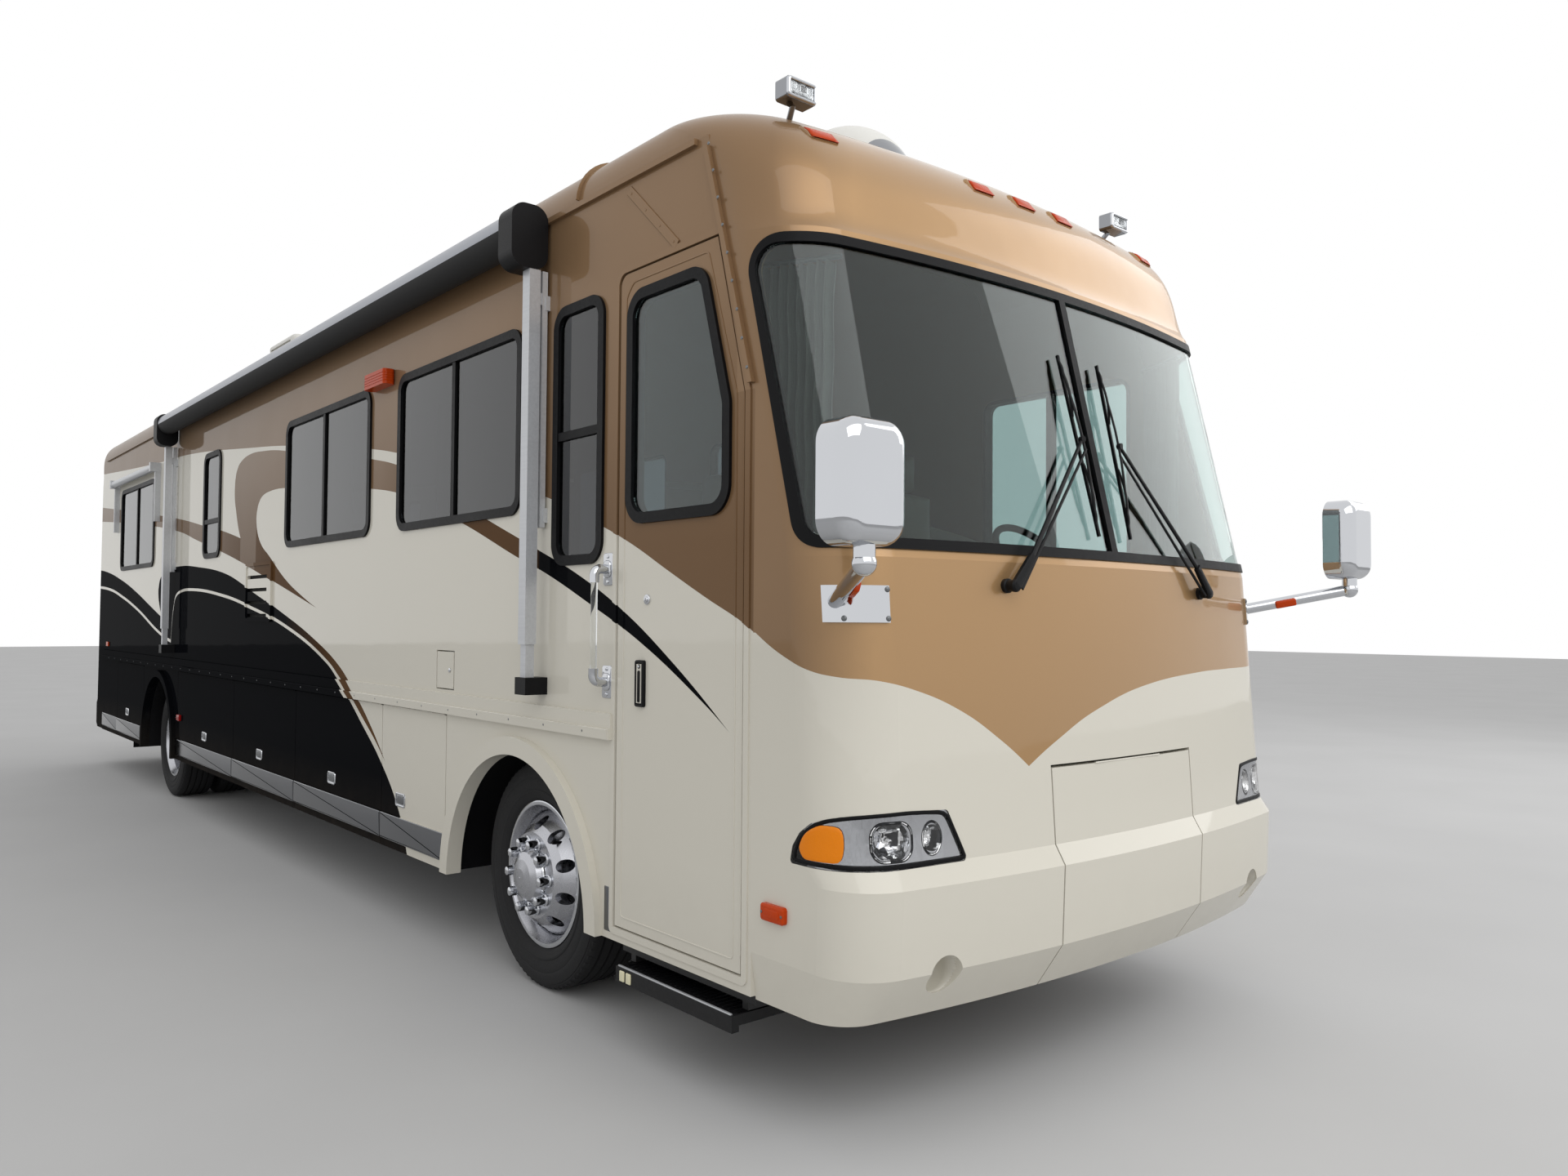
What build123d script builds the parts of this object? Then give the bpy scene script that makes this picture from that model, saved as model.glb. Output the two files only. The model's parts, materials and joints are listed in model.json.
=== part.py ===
from build123d import *
import math
import os

os.makedirs("parts", exist_ok=True)

# A forty-foot motorhome, rear engined. Millimetres, +Z up, wheels on z = 0.
# The nose points to -Y, the entry door is on the -X side. Stations (s) run from the nose rearwards.

# Body
body_length = 12080
body_width = 2540
wall = 50
skirt_z = 393
belt_z = 1133
belt_height = 97
belt_proud = 24
gutter_proud = 16
gutter_height = 22
drip_width = 24
gutter_z = 3245
roof_radius = 200
mirror_lead = 155
gap = 6
swing_gap = 8
barrel_radius = 3
barrel_lap = 1.5
barrel_half = 200
hinge_room = 10

half = body_width / 2
roof_z = gutter_z + roof_radius
belt_top = belt_z + belt_height
y_mid = (body_length - mirror_lead) / 2

# Front cap
cap_depth = 605
cap_roof_depth = 1730
cap_wall = 40
seam_kink_z = 2330
seam_top_s = 870
bow_radius = 6400

# Rear cap
rear_depth = 540
rear_bow = 9000
rear_s = body_length - rear_depth

# Entry door
door_front = 659
door_rear = 1410
door_z = 451
door_top = 2876
door_kink_z = 2325
door_top_front = 810
door_corner = 45

# Wheels and axles
tyre_radius = 485
tyre_width = 278
rim_radius = 305
wheel_face = 105
front_axle_s = 2198
rear_axle_s = 8900
twin_pitch = 325
kingpin_inset = 135

wheel_x = half - wheel_face - tyre_width / 2
kingpin_x = wheel_x - kingpin_inset

# Arches
arch_centre_z = 384
front_arch = 622
front_flare = 700
front_liner = 690
rear_arch = 560
rear_flare = 618
rear_arch_centre_z = 492
flare_proud = 32
liner = 10
liner_inner_x = 545

# Floor, chassis and bays
floor_z = 1070
floor_thick = 55
rail_x = 430
rail_width = 80
rail_height = 190
rail_s = (330, rear_s + 400)
crossmembers = (420, 1500, 3100, 4500, 6000, 7400, 9700, 11400)
bay_floor_z = 430
bay_plate = 15

floor_top = floor_z + floor_thick
rail_top = floor_z
rail_z = rail_top - rail_height

# Front cap sections: height, station of the nose, corner radius, half width
cap_rows = [
    (381, 112, 150, half - 22),
    (534, 10, 195, half),
    (793, 0, 200, half),
    (855, 38, 225, half),
    (1780, 100, 255, half),
    (2855, 357, 265, half),
]
dome_rows = [
    (2855, 357, 265, half),
    (3095, 440, 280, half),
    (gutter_z, 548, 300, half),
    (3322, 655, 320, half - 15),
    (3400, 810, 350, half - 74),
    (roof_z, 985, 380, half - roof_radius),
]
band_rows = [(1780, 100, 255, half), (2855, 357, 265, half)]

seam = [
    (-300, 300), (cap_depth, 300), (cap_depth, seam_kink_z), (seam_top_s, gutter_z),
    (cap_roof_depth, gutter_z), (cap_roof_depth, roof_z + 50), (-300, roof_z + 50),
]

# Windscreen: heights of the seal's outer edge, and the station where it ends on each side
screen_z = 1806
screen_top = 2832
screen_low_s = 401
screen_top_s = 671
screen_corner = 110
seal_width = 34
seal_proud = 7
seal_depth = 22
glass_thick = 7
divider = 36

# Front hatch
hatch_half = 429
hatch_top = 1103

# Headlamp outline, door side: (x, z) from the front, and (station, z) from the side
lamp_points = [(-826, 850), (-900, 1010), (-1080, 1018), (-half - 40, 1008), (-half - 40, 846)]
lamp_side = [(-200, 780), (420, 846), (408, 900), (376, 944), (328, 978), (240, 1004), (-200, 1060)]
lamp_corner = 14
lamp_depth = 74
lens_thick = 8
fog_x = 935
fog_z = 520
fog_radius = 62

# Reflector bowls of the door-side headlamp: x, height, radius
lamp_bowls = [(-1105, 929, 60), (-960, 930, 40)]

# Side windows of the door side: name, first station, last station, low z, high z, bar
# bar "v" is an upright meeting rail at bar_at, "h" a level one
window_rows = [
    ("slim", 1518, 1905, 1798, 2848, "h", 2320),
    ("lounge", 2186, 3551, 2030, 2843, "v", 2873),
    ("galley", 3938, 5419, 2030, 2843, "v", 4693),
    ("bath", 6997, 7490, 2034, 2858, "h", 2320),
    ("bedroom", 9233, 10723, 2034, 2840, "v", 9960),
]
driver_rows = [
    ("driver", 800, 1740, 1798, 2790, "v", 1300),
    ("sofa", 2700, 4200, 2030, 2843, "v", 3450),
    ("dinette", 4700, 6100, 2030, 2843, "v", 5400),
    ("wardrobe", 7000, 7490, 2034, 2858, "h", 2320),
    ("bed", 9233, 10723, 2034, 2840, "v", 9960),
]
window_corner = 92
door_window_corner = 105
frame_proud = 12
frame_face = 40
frame_lap = 20
bar_width = 34
door_window = [(724, 1934), (1353, 1934), (1353, 2800), (868, 2800), (724, 2309)]

door_outline = [
    (door_front, door_z), (door_rear, door_z), (door_rear, door_top),
    (door_top_front, door_top), (door_front, door_kink_z),
]
door_hole = [
    (door_front - hinge_room, door_z - gap), (door_rear + swing_gap, door_z - gap),
    (door_rear + swing_gap, door_top + gap), (door_top_front - hinge_room, door_top + gap),
    (door_front - hinge_room, door_kink_z),
]
surround_width = 26
surround_proud = 5
arch_front_edge = front_axle_s - front_flare - 14

wall_outline = [
    (cap_depth, skirt_z), (arch_front_edge, skirt_z), (arch_front_edge, belt_z), (rear_s, belt_z),
    (rear_s, gutter_z), (seam_top_s, gutter_z), (cap_depth, seam_kink_z),
]

# Refrigerator louvres in the door-side wall: the panel, the slots' stations and heights
louvre_panel = (5680, 6280, 1551, 1958)
louvre_panel_proud = 14
louvre_rim = 24
louvre_corner = 30
side_slot_s = (5790, 6243)
side_slot_rows = (1594, 1682, 1770, 1858)
side_slot_height = 24

# Lids below the belt: name, first station, last station
right_lids = [
    ("bay_lid_right_1", 2912, 3712),
    ("bay_lid_right_2", 3712, 5145),
    ("bay_lid_right_3", 5145, 6546),
    ("bay_lid_right_4", 6546, 8226),
    ("bay_lid_right_5", 9540, 10746),
]
left_lids = [
    ("bay_lid_left_1", 3712, 5145),
    ("bay_lid_left_2", 5145, 6546),
    ("bay_lid_left_3", 6546, 8226),
]
lid_thick = 40
fuel_flap = (2845, 3028, 1251, 1425)

hub_radius = 100
cap_radius = 114
spindle_radius = 45
spindle_play = 0.05
drum_radius = 205
pilot_radius = 83
disc_thick = 20
nut_count = 10
nut_circle = 142.875
nut_radius = 18
hole_count = 10
hole_circle = 219
hole_radius = 27
disc_offset = twin_pitch / 2
rim_half = tyre_width / 2 - 20

axle_drop = 60
pin_radius = 24

# Rear cap sections, measured forwards from the tail
rear_rows = [
    (skirt_z, 24, 130, half - 10),
    (440, 4, 150, half),
    (650, 0, 150, half),
    (690, 34, 165, half),
    (2950, 60, 175, half),
]
rear_dome_rows = [
    (2950, 60, 175, half),
    (3140, 76, 178, half),
    (gutter_z, 96, 180, half),
    (3345, 138, 180, half - 27),
    (3415, 200, 180, half - 95),
    (roof_z, 275, 180, half - roof_radius),
]

engine_door_half = 720
engine_hinge_s = 48
engine_door_z = 760
engine_door_top = 1720
tail_lamp_x = 1060
tail_lamp_width = 130
tail_lamp_z = 960
tail_lamp_height = 520

louvre_rows = 7
louvre_z = 1060
louvre_pitch = 66
louvre_slot = 26
louvre_width = 480

# Clearance lamps on the front cap: x, height of the middle
clearance_rows = [(-985, 3238), (-253, 3219), (0, 3221), (253, 3219), (985, 3238)]
clearance_width = 104
clearance_height = 46
side_markers = [(8149, 744), (11300, belt_top + 62)]
corner_marker = (433, 539, 656, 703)
rear_marker_x = (-1000, -150, 0, 150, 1000)
rear_marker_z = (3080, 3110)
porch_lamp = (3620, 3910, 2814, 2894)
porch_depth = 62

# Mirrors
mirror_x = 1466
mirror_width = 238
mirror_depth = 120
mirror_z = 1780
mirror_height = 336
mirror_arm = 23
elbow_z = 1734
mirror_foot_x = -1212
mirror_foot_s = 290
mirror_foot_z = 1640
mirror_plate = (-1243, -1090, 1580, 1692)
mirror_corner = 68
mirror_front_round = 52

band_low = [(855, 38, 225, half), (1780, 100, 255, half)]

# Wipers, door side: pivot, elbow and the blade's ends as (x, z)
wiper_pivot = (-603, 1702)
wiper_knee = (-118, 2240)
blade_low = (-100, 1890)
blade_high = (-124, 2560)

# Awning
awning_radius = 80
awning_x = half + 94
awning_z = 3198
awning_head_z = (3020, 3284)
awning_rail_z = 1960
awning_front = 2075
awning_back = 8340
awning_head = 120
awning_head_round = 62
arm_foot_z = 1275
arm_foot = 70
arm_step = 205
arm_shift = 28
arm_out = (96, 46)

# Roller over the bedroom window: stations, height, distance from the wall, radius
window_roller = (9060, 10880, 2915, 50, 34)

# Roof fittings: air conditioners at these stations, a vent, a white dome
ac_rows = [(4200, 1050, 700), (9300, 1050, 700)]
ac_height = 235
dome_s = 1120
dome_x = -360
dome_radius = 279
dome_top = 3600
fridge_vent = (-1060, -760, 6050, 6630, 150)
roof_vents = (6500, 7900)
docking_x = 979
docking_s = 757
docking_z = (3395, 3470)

# Grab handle, door pull (stations and heights) and entry step
handle_s = 1479
handle_z = (1360, 1762)
handle_out = 62
handle_radius = 15
door_pull = (1232, 1262, 1282, 1423)
step_z = 255
step_rows = (690, 1385)

# Floor over the engine, and the step well behind the door
rear_deck_z = 1400
rear_deck_s = 9900
well_x = -640
tread_x = -990
tread_z = 690
tray_outer = half - 48
tray_inner = 490

receiver = 51
receiver_wall = 6.5
receiver_z = 345
receiver_length = 330
pin_hole = 8
pin_setback = 60
chain_eye_x = 95
chain_eye_radius = 13
chain_plate = 12

flap_s = 11380

# Blocks below the floor: x, station and height ranges
fuel_tank = (-370, 370, 2960, 3900, 470, 860)
waste_tank = (-370, 370, 5000, 7300, 500, 860)
engine_block = (-365, 365, 10050, 11250, 560, 1330)
muffler = (560, 10050, 10900, 620)

# Cabin: steering wheel's centre, walls and furniture stations
steering_wheel = (560, 880, 1850)
washroom_wall = (6820, 6850)
sofa_s = (2700, 4600)
dinette_s = (4800, 6300)
bed_s = (9930, 11500)
curtain_x = -1130
curtain_s = (560, 630)
seat_x = (560, -330)
# Seat cushion, back and headrest: half width, stations, heights, corner
seat_rows = [
    (270, 1180, 1760, 1450, 1600, 40),
    (260, 1700, 1860, 1570, 2260, 50),
    (140, 1715, 1830, 2230, 2440, 40),
]


def y_at(s):
    """Model Y of a station behind the nose."""
    return s - y_mid


def side_plane(x):
    """Sketch plane on a body side: local x is +Y, local y is +Z, normal +X."""
    return Plane(origin=(x, 0, 0), x_dir=(0, 1, 0), z_dir=(1, 0, 0))


def side_slab(outline, x, thick):
    """Plate of a side outline from x inwards, on the door side."""
    return extrude(side_plane(x) * outline, thick)


def polygon(points, radius=0.0, only=None):
    """Face of a closed outline given in (station, height), its corners (or only one) rounded."""
    face = make_face(Polyline(*[(y_at(s), z) for s, z in points], close=True))
    if not radius:
        return face
    if only is None:
        return fillet(face.vertices(), radius)
    s, z = only
    corner = min(face.vertices(), key=lambda v: math.dist((v.X, v.Y), (y_at(s), z)))
    return fillet(corner, radius)


def door_face(points):
    """Door-shaped face with only its rear top corner round."""
    return polygon(points, door_corner, only=points[2])


def box(x0, x1, s0, s1, z0, z1):
    """Block between two x, two stations and two heights."""
    centre = ((x0 + x1) / 2, y_at((s0 + s1) / 2), (z0 + z1) / 2)
    return Pos(*centre) * Box(abs(x1 - x0), abs(s1 - s0), abs(z1 - z0))


def rod(start, end, radius):
    """Round bar between two points given as (x, station, z)."""
    a = Vector(start[0], y_at(start[1]), start[2])
    b = Vector(end[0], y_at(end[1]), end[2])
    plane = Plane(origin=a, z_dir=b - a)
    return extrude(plane * Circle(radius), (b - a).length)


def cross_cylinder(x0, x1, s, z, radius):
    """Cylinder that lies across the vehicle."""
    return rod((x0, s, z), (x1, s, z), radius)


def other_side(shape):
    """Mirror image across the vehicle."""
    return mirror(shape, about=Plane.YZ)


def both_sides(shape):
    """The shape and its mirror image as separate solids."""
    return Compound(children=[*shape.solids(), *other_side(shape).solids()])


def group(*shapes):
    """Several solids kept apart in one node."""
    return Compound(children=[s for shape in shapes for s in shape.solids()])


def cap_face(z, front, radius, width, back, inset=0.0, bow=bow_radius):
    """Plan section of an end cap: sides, two round corners and a bowed end."""
    w, r, big = width - inset, radius - inset, bow - inset
    nose = front + inset
    centre_s = nose + big - math.sqrt((big - r) ** 2 - (w - r) ** 2)
    lean = math.atan2(w - r, nose + big - centre_s)
    tip = (w - r + r * math.sin(lean), centre_s - r * math.cos(lean))
    mid_angle = (lean + math.pi / 2) / 2
    mid = (w - r + r * math.sin(mid_angle), centre_s - r * math.cos(mid_angle))
    edges = [
        Line((w, y_at(back), z), (w, y_at(centre_s), z)),
        ThreePointArc((w, y_at(centre_s), z), (mid[0], y_at(mid[1]), z), (tip[0], y_at(tip[1]), z)),
        ThreePointArc((tip[0], y_at(tip[1]), z), (0, y_at(nose), z), (-tip[0], y_at(tip[1]), z)),
        ThreePointArc((-tip[0], y_at(tip[1]), z), (-mid[0], y_at(mid[1]), z), (-w, y_at(centre_s), z)),
        Line((-w, y_at(centre_s), z), (-w, y_at(back), z)),
        Line((-w, y_at(back), z), (w, y_at(back), z)),
    ]
    return make_face(Wire(edges))


def stack(rows, inset, back=cap_roof_depth):
    """Ruled skin through plan sections, one stretch at a time."""
    faces = [cap_face(z, s, r, w, back, inset) for z, s, r, w in rows]
    solid = loft(faces[:2], ruled=True)
    for low, high in zip(faces[1:], faces[2:]):
        solid += loft([low, high], ruled=True)
    return solid


def cap_body(inset=0.0):
    """Filled front cap, shrunk by inset on every outer face, up to its seam."""
    upper = []
    for z, s, r, w in dome_rows:
        drop = inset * max(0, z - gutter_z) / roof_radius
        upper.append(cap_face(z - drop, s, r, w, cap_roof_depth, inset))
    body = stack(cap_rows, inset) + loft(upper)
    return body & side_slab(polygon(seam), -half - 5, 2 * half + 10)


def front_prism(points, depth=900, radius=0.0):
    """Block with a front-view outline given in (x, z), from ahead of the nose rearwards."""
    face = make_face(Polyline(*[(x, z) for x, z in points], close=True))
    if radius:
        face = fillet(face.vertices(), radius)
    plane = Plane(origin=(0, y_at(-100), 0), x_dir=(1, 0, 0), z_dir=(0, -1, 0))
    return extrude(plane * face, -depth)


def screen_prism(shrink):
    """Everything ahead of the windscreen's raked side edge, between its top and bottom."""
    z0, z1 = screen_z + shrink, screen_top - shrink
    lead = -2 * screen_corner
    points = [(lead, z0), (screen_low_s - shrink, z0), (screen_top_s - shrink, z1), (lead, z1)]
    return side_slab(polygon(points, screen_corner - shrink), -half - 50, 2 * half + 100)


def make_front_cap():
    """Moulded nose and brow, open for the windscreen, the hatch and the lamps."""
    shell = cap_body() - cap_body(cap_wall)
    keep = box(-half, half, -5, cap_roof_depth, 300, roof_z + 5)
    shell = shell & keep
    shell -= screen_prism(seal_width / 2)
    shell -= box(-hatch_half - gap, hatch_half + gap, -50, 400, 300, hatch_top + hinge_room)
    lamp = lamp_room()
    shell -= lamp
    shell -= other_side(lamp)
    for x in (-fog_x, fog_x):
        shell -= rod((x, -60, fog_z), (x, 300, fog_z), fog_radius)
    return shell


def make_hatch():
    """Service hatch between the headlamps, hinged along its top edge."""
    low = cap_rows[:5]
    hatch = (stack(low, 0) - stack(low, cap_wall)) & box(-hatch_half, hatch_half, -50, 400, 300, hatch_top)
    s, z = front_s(0, hatch_top) + barrel_lap, hatch_top + barrel_lap
    return hatch + rod((-barrel_half, s, z), (barrel_half, s, z), barrel_radius)


def band(inset):
    """Filled band of the windscreen's height, shrunk by inset."""
    return stack(band_rows, inset)


def make_screen_seal():
    """Rubber seal round the windscreen, with the middle post."""
    ring = band(-seal_proud) - band(seal_depth)
    ring &= screen_prism(0) - screen_prism(seal_width)
    lip = band(-seal_proud - 1) - band(0)
    outside = lip & (screen_prism(-2) - screen_prism(seal_width / 2))
    body = ring & screen_prism(seal_width / 2)
    post = (band(-seal_proud) - band(seal_depth)) & screen_prism(seal_width)
    post &= box(-divider / 2, divider / 2, -100, 900, 1700, 2900)
    return (ring & (body + outside)) + post


def make_screen_glass():
    pane = (band(4) - band(4 + glass_thick)) & screen_prism(seal_width)
    return pane - box(-divider / 2, divider / 2, -100, 900, 1700, 2900)


def lamp_room():
    """Space of the door-side headlamp, from the nose back."""
    front = front_prism(lamp_points, 700, lamp_corner)
    return front & side_slab(polygon(lamp_side, lamp_corner), -half - 50, half)


def make_headlamps():
    """Housings that carry two reflector bowls each."""
    sections = cap_rows[2:5]
    unit = (stack(sections, lens_thick) - stack(sections, lamp_depth)) & lamp_room()
    for x, z, radius in lamp_bowls:
        start = front_s(x, z)
        tool = rod((x, start - 60, z), (x, start + lamp_depth - 14, z), radius)
        unit -= tool
    return both_sides(unit)


def make_lamp_lenses():
    """Clear covers that carry on the nose's skin."""
    sections = cap_rows[2:5]
    lens = (stack(sections, 0) - stack(sections, lens_thick)) & lamp_room()
    return both_sides(lens)


def window_outline(row, shrink):
    """Round-cornered outline of a side window."""
    s0, s1, z0, z1 = row[1:5]
    centre = (y_at((s0 + s1) / 2), (z0 + z1) / 2)
    rect = RectangleRounded(s1 - s0 - 2 * shrink, z1 - z0 - 2 * shrink, window_corner - shrink)
    return Pos(*centre) * rect


def window_frame(row):
    """Black frame: a flange on the wall's face and a lining through the wall."""
    flange = side_slab(window_outline(row, 0), -half - frame_proud, frame_proud)
    lining = side_slab(window_outline(row, frame_lap), -half, wall)
    hole = side_slab(window_outline(row, frame_face), -half - frame_proud - 1, wall + frame_proud + 2)
    frame = flange + lining - hole
    s0, s1, z0, z1 = row[1:5]
    mid = row[6]
    x0, x1 = -half - frame_proud + 3, -half + wall - 14
    if row[5] == "v":
        bar = box(x0, x1, mid - bar_width / 2, mid + bar_width / 2, z0 + frame_face, z1 - frame_face)
    else:
        bar = box(x0, x1, s0 + frame_face, s1 - frame_face, mid - bar_width / 2, mid + bar_width / 2)
    return frame + bar


def window_pane(row):
    """The window's glass on both sides of its bar."""
    pane = side_slab(window_outline(row, frame_face), -half + 2, glass_thick)
    s0, s1, z0, z1 = row[1:5]
    mid = row[6]
    if row[5] == "v":
        return pane - box(-half - 20, -half + 40, mid - bar_width / 2, mid + bar_width / 2, z0, z1)
    return pane - box(-half - 20, -half + 40, s0, s1, mid - bar_width / 2, mid + bar_width / 2)


def belt_rail(s0, s1):
    """Two-step rail along the wall's foot."""
    step = belt_height / 2
    low = box(-half - belt_proud, -half, s0, s1, belt_z, belt_z + step - 8)
    top = box(-half - belt_proud * 0.6, -half, s0, s1, belt_z + step - 8, belt_top)
    return low + top


def rain_rails():
    """Gutter under the roof's edge and the drip rail that runs down the front cap's seam."""
    gutter = box(-half - gutter_proud, -half, seam_top_s + 60, rear_s, gutter_z - gutter_height, gutter_z)
    foot, head = (cap_depth, seam_kink_z + 20), (seam_top_s - 12, gutter_z - 44)
    strip = polygon([foot, (foot[0] + drip_width, foot[1]), (head[0] + drip_width, head[1]), head])
    return gutter + side_slab(strip, -half - gutter_proud, gutter_proud)


def louvred(panel):
    """Wall with the refrigerator's raised louvre panel."""
    s0, s1, z0, z1 = louvre_panel
    plate = box(-half - louvre_panel_proud, -half, s0, s1, z0, z1)
    plate = fillet(plate.edges().filter_by(Axis.X), louvre_corner)
    rim = louvre_rim
    field = box(-half - louvre_panel_proud, -half - louvre_panel_proud / 2, s0 + rim, s1 - rim,
                z0 + rim, z1 - rim)
    panel += plate - fillet(field.edges().filter_by(Axis.X), louvre_corner - rim / 2)
    for z in side_slot_rows:
        panel -= box(-half - louvre_panel_proud, -half + 14, *side_slot_s,
                     z - side_slot_height / 2, z + side_slot_height / 2)
    return panel


def make_right_wall():
    """Door-side wall from the front cap's seam to the rear cap, with the door's surround."""
    outline = polygon(wall_outline)
    panel = side_slab(outline, -half, wall)
    panel -= side_slab(door_face(door_hole), -half - 1, wall + 2)
    for row in window_rows:
        panel -= side_slab(window_outline(row, frame_lap), -half - 1, wall + 2)
    surround = offset(door_face(door_hole), surround_width, kind=Kind.ARC)
    surround = side_slab(surround, -half - surround_proud, surround_proud)
    panel += surround - side_slab(door_face(door_hole), -half - 10, 20)
    panel += belt_rail(door_rear + belt_proud, rear_s)
    panel += rain_rails()
    panel = louvred(panel)
    fs0, fs1, fz0, fz1 = fuel_flap
    panel -= box(-half - 50, -half + 30, fs0 - hinge_room, fs1 + swing_gap, fz0 - gap, fz1 + gap)
    return panel


def make_left_wall():
    """Driver's-side wall."""
    outline = polygon(wall_outline)
    panel = side_slab(outline, -half, wall)
    for row in driver_rows:
        panel -= side_slab(window_outline(row, frame_lap), -half - 1, wall + 2)
    panel += belt_rail(cap_depth, rear_s)
    panel += rain_rails()
    return other_side(panel)


def round_edge(side, radius, downwards):
    """Quarter arc over the roof's edge, on side 1 or -1."""
    top = half - roof_radius
    diagonal = radius * math.sqrt(0.5)
    points = [
        (side * top, 0, gutter_z + radius),
        (side * (top + diagonal), 0, gutter_z + diagonal),
        (side * (top + radius), 0, gutter_z),
    ]
    return ThreePointArc(*(points if downwards else points[::-1]))


def make_roof():
    """Roof shell with round edges."""
    top = half - roof_radius
    thin = roof_radius - wall
    outline = [
        Line((-half, 0, gutter_z), (-half + wall, 0, gutter_z)),
        round_edge(-1, thin, False),
        Line((-top, 0, roof_z - wall), (top, 0, roof_z - wall)),
        round_edge(1, thin, True),
        Line((half - wall, 0, gutter_z), (half, 0, gutter_z)),
        round_edge(1, roof_radius, False),
        Line((top, 0, roof_z), (-top, 0, roof_z)),
        round_edge(-1, roof_radius, True),
    ]
    face = make_face(Wire(outline)).moved(Location((0, y_at(cap_roof_depth), 0)))
    return extrude(face, rear_s - cap_roof_depth, dir=(0, 1, 0))


def make_lid(s0, s1):
    """Top-hinged lid with a rebated lower rub strip."""
    head = belt_z - hinge_room
    lid = box(-half, -half + lid_thick, s0 + gap / 2, s1 - gap / 2, skirt_z, head)
    lid += rod((-half, s0 + 20, head + barrel_lap), (-half, s1 - 20, head + barrel_lap), barrel_radius)
    strip = box(-half - 6, -half, s0 + gap / 2, s1 - gap / 2, skirt_z + 40, skirt_z + 174)
    return lid + strip


def arch_panel(s0, s1, centre_s, centre_z, opening, flare):
    """Fixed skirt panel round a wheel, with its raised flare."""
    panel = box(-half, -half + lid_thick, s0, s1, skirt_z, belt_z)
    ring = cross_cylinder(-half - flare_proud, -half + lid_thick, centre_s, centre_z, flare)
    ring &= box(-half - flare_proud, -half + lid_thick, s0, s1, skirt_z, belt_z)
    hole = cross_cylinder(-half - 90, -half + 90, centre_s, centre_z, opening)
    below = box(-half - 90, -half + 90, centre_s - opening, centre_s + opening, 0, centre_z)
    return panel + ring - hole - below


def make_skirts():
    """Fixed panels below the belt, round the wheels and at the tail."""
    front = arch_panel(arch_front_edge, right_lids[0][1] - gap / 2, front_axle_s, arch_centre_z,
                       front_arch, front_flare)
    rear = arch_panel(right_lids[3][2] + gap / 2, right_lids[4][1] - gap / 2, rear_axle_s,
                      rear_arch_centre_z, rear_arch, rear_flare)
    tail = box(-half, -half + lid_thick, right_lids[4][2] + gap / 2, rear_s, skirt_z, belt_z)
    shared = both_sides(front + rear)
    left_front = box(half - lid_thick, half, right_lids[0][1] - gap / 2, left_lids[0][1] - gap / 2,
                     skirt_z, belt_z)
    left_tail = box(half - lid_thick, half, right_lids[4][1] - gap / 2, rear_s, skirt_z, belt_z)
    return group(shared, tail, left_front, left_tail)


def make_liners():
    """Half-round inner arches, closed towards the middle."""
    rows = [
        (front_axle_s, arch_centre_z, front_liner, liner_inner_x),
        (rear_axle_s, rear_arch_centre_z, rear_arch, liner_inner_x - 60),
    ]
    shells = []
    for s, z, radius, inner in rows:
        x0, x1 = -half + lid_thick, -inner
        drum = cross_cylinder(x0, x1, s, z, radius)
        core = cross_cylinder(x0 - 1, x1 - liner, s, z, radius - liner)
        legs = box(x0, x1, s - radius, s + radius, skirt_z, z)
        leg_core = box(x0 - 1, x1 - liner, s - radius + liner, s + radius - liner, 0, z)
        shell = (drum + legs) - core - leg_core
        shell -= box(x1 - 2 * liner, x1 + 5, s - 95, s + 95, 300, tyre_radius + 95)
        shells.append(shell & box(x0, x1, s - 900, s + 900, skirt_z, floor_z))
    return group(both_sides(group(*shells)), make_mud_flap())


def axle_turn(profile_points, flip=1):
    """Ring turned about the wheel's axis from (radius, distance outwards) points."""
    face = make_face(Polyline(*[(r, u * flip) for r, u in profile_points], close=True))
    return Rot(0, 0, -90) * revolve(Plane.XY * face, Axis.Y)


def tyre_ring():
    """Tyre with rounded shoulders, seated on the rim's flanges."""
    w = tyre_width / 2
    side = [(rim_radius, w - 42), (rim_radius + 32, w - 6), (rim_radius + 95, w),
            (tyre_radius - 26, w - 8), (tyre_radius, w - 38)]
    return axle_turn(side + [(r, -u) for r, u in reversed(side)])


def around(count, circle, start=0.0):
    """Evenly spaced (a, b) points on a circle."""
    step = 2 * math.pi / count
    return [(circle * math.cos(step * (i + start)), circle * math.sin(step * (i + start)))
            for i in range(count)]


def wheel_rim(flip=1):
    """Forged wheel whose disc bulges outwards, or inwards when flip is -1."""
    w = rim_half
    barrel = axle_turn([
        (rim_radius, -w), (rim_radius, -w + 22), (rim_radius - 22, -w + 40), (rim_radius - 34, 0),
        (rim_radius - 22, w - 40), (rim_radius, w - 22), (rim_radius, w), (rim_radius - 12, w),
        (rim_radius - 36, w - 44), (rim_radius - 48, 0), (rim_radius - 36, -w + 44),
        (rim_radius - 12, -w)])
    d, t = disc_offset, disc_thick
    disc = axle_turn([
        (rim_radius - 40, 36), (rim_radius - 40, 64), (214, d - 28), (182, d), (pilot_radius, d),
        (pilot_radius, d - t), (174, d - t), (202, d - t - 24), (rim_radius - 62, 36)], flip)
    for a, b in around(hole_count, hole_circle, 0.5):
        disc -= rod_x(0, flip * (d + 20), a, b, hole_radius)
    return barrel + disc


def rod_x(u0, u1, a, b, radius):
    """Round bar along the wheel's axis, (a, b) off it."""
    return Pos((u0 + u1) / 2, a, b) * Rot(0, 90, 0) * Cylinder(radius, abs(u1 - u0))


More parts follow.
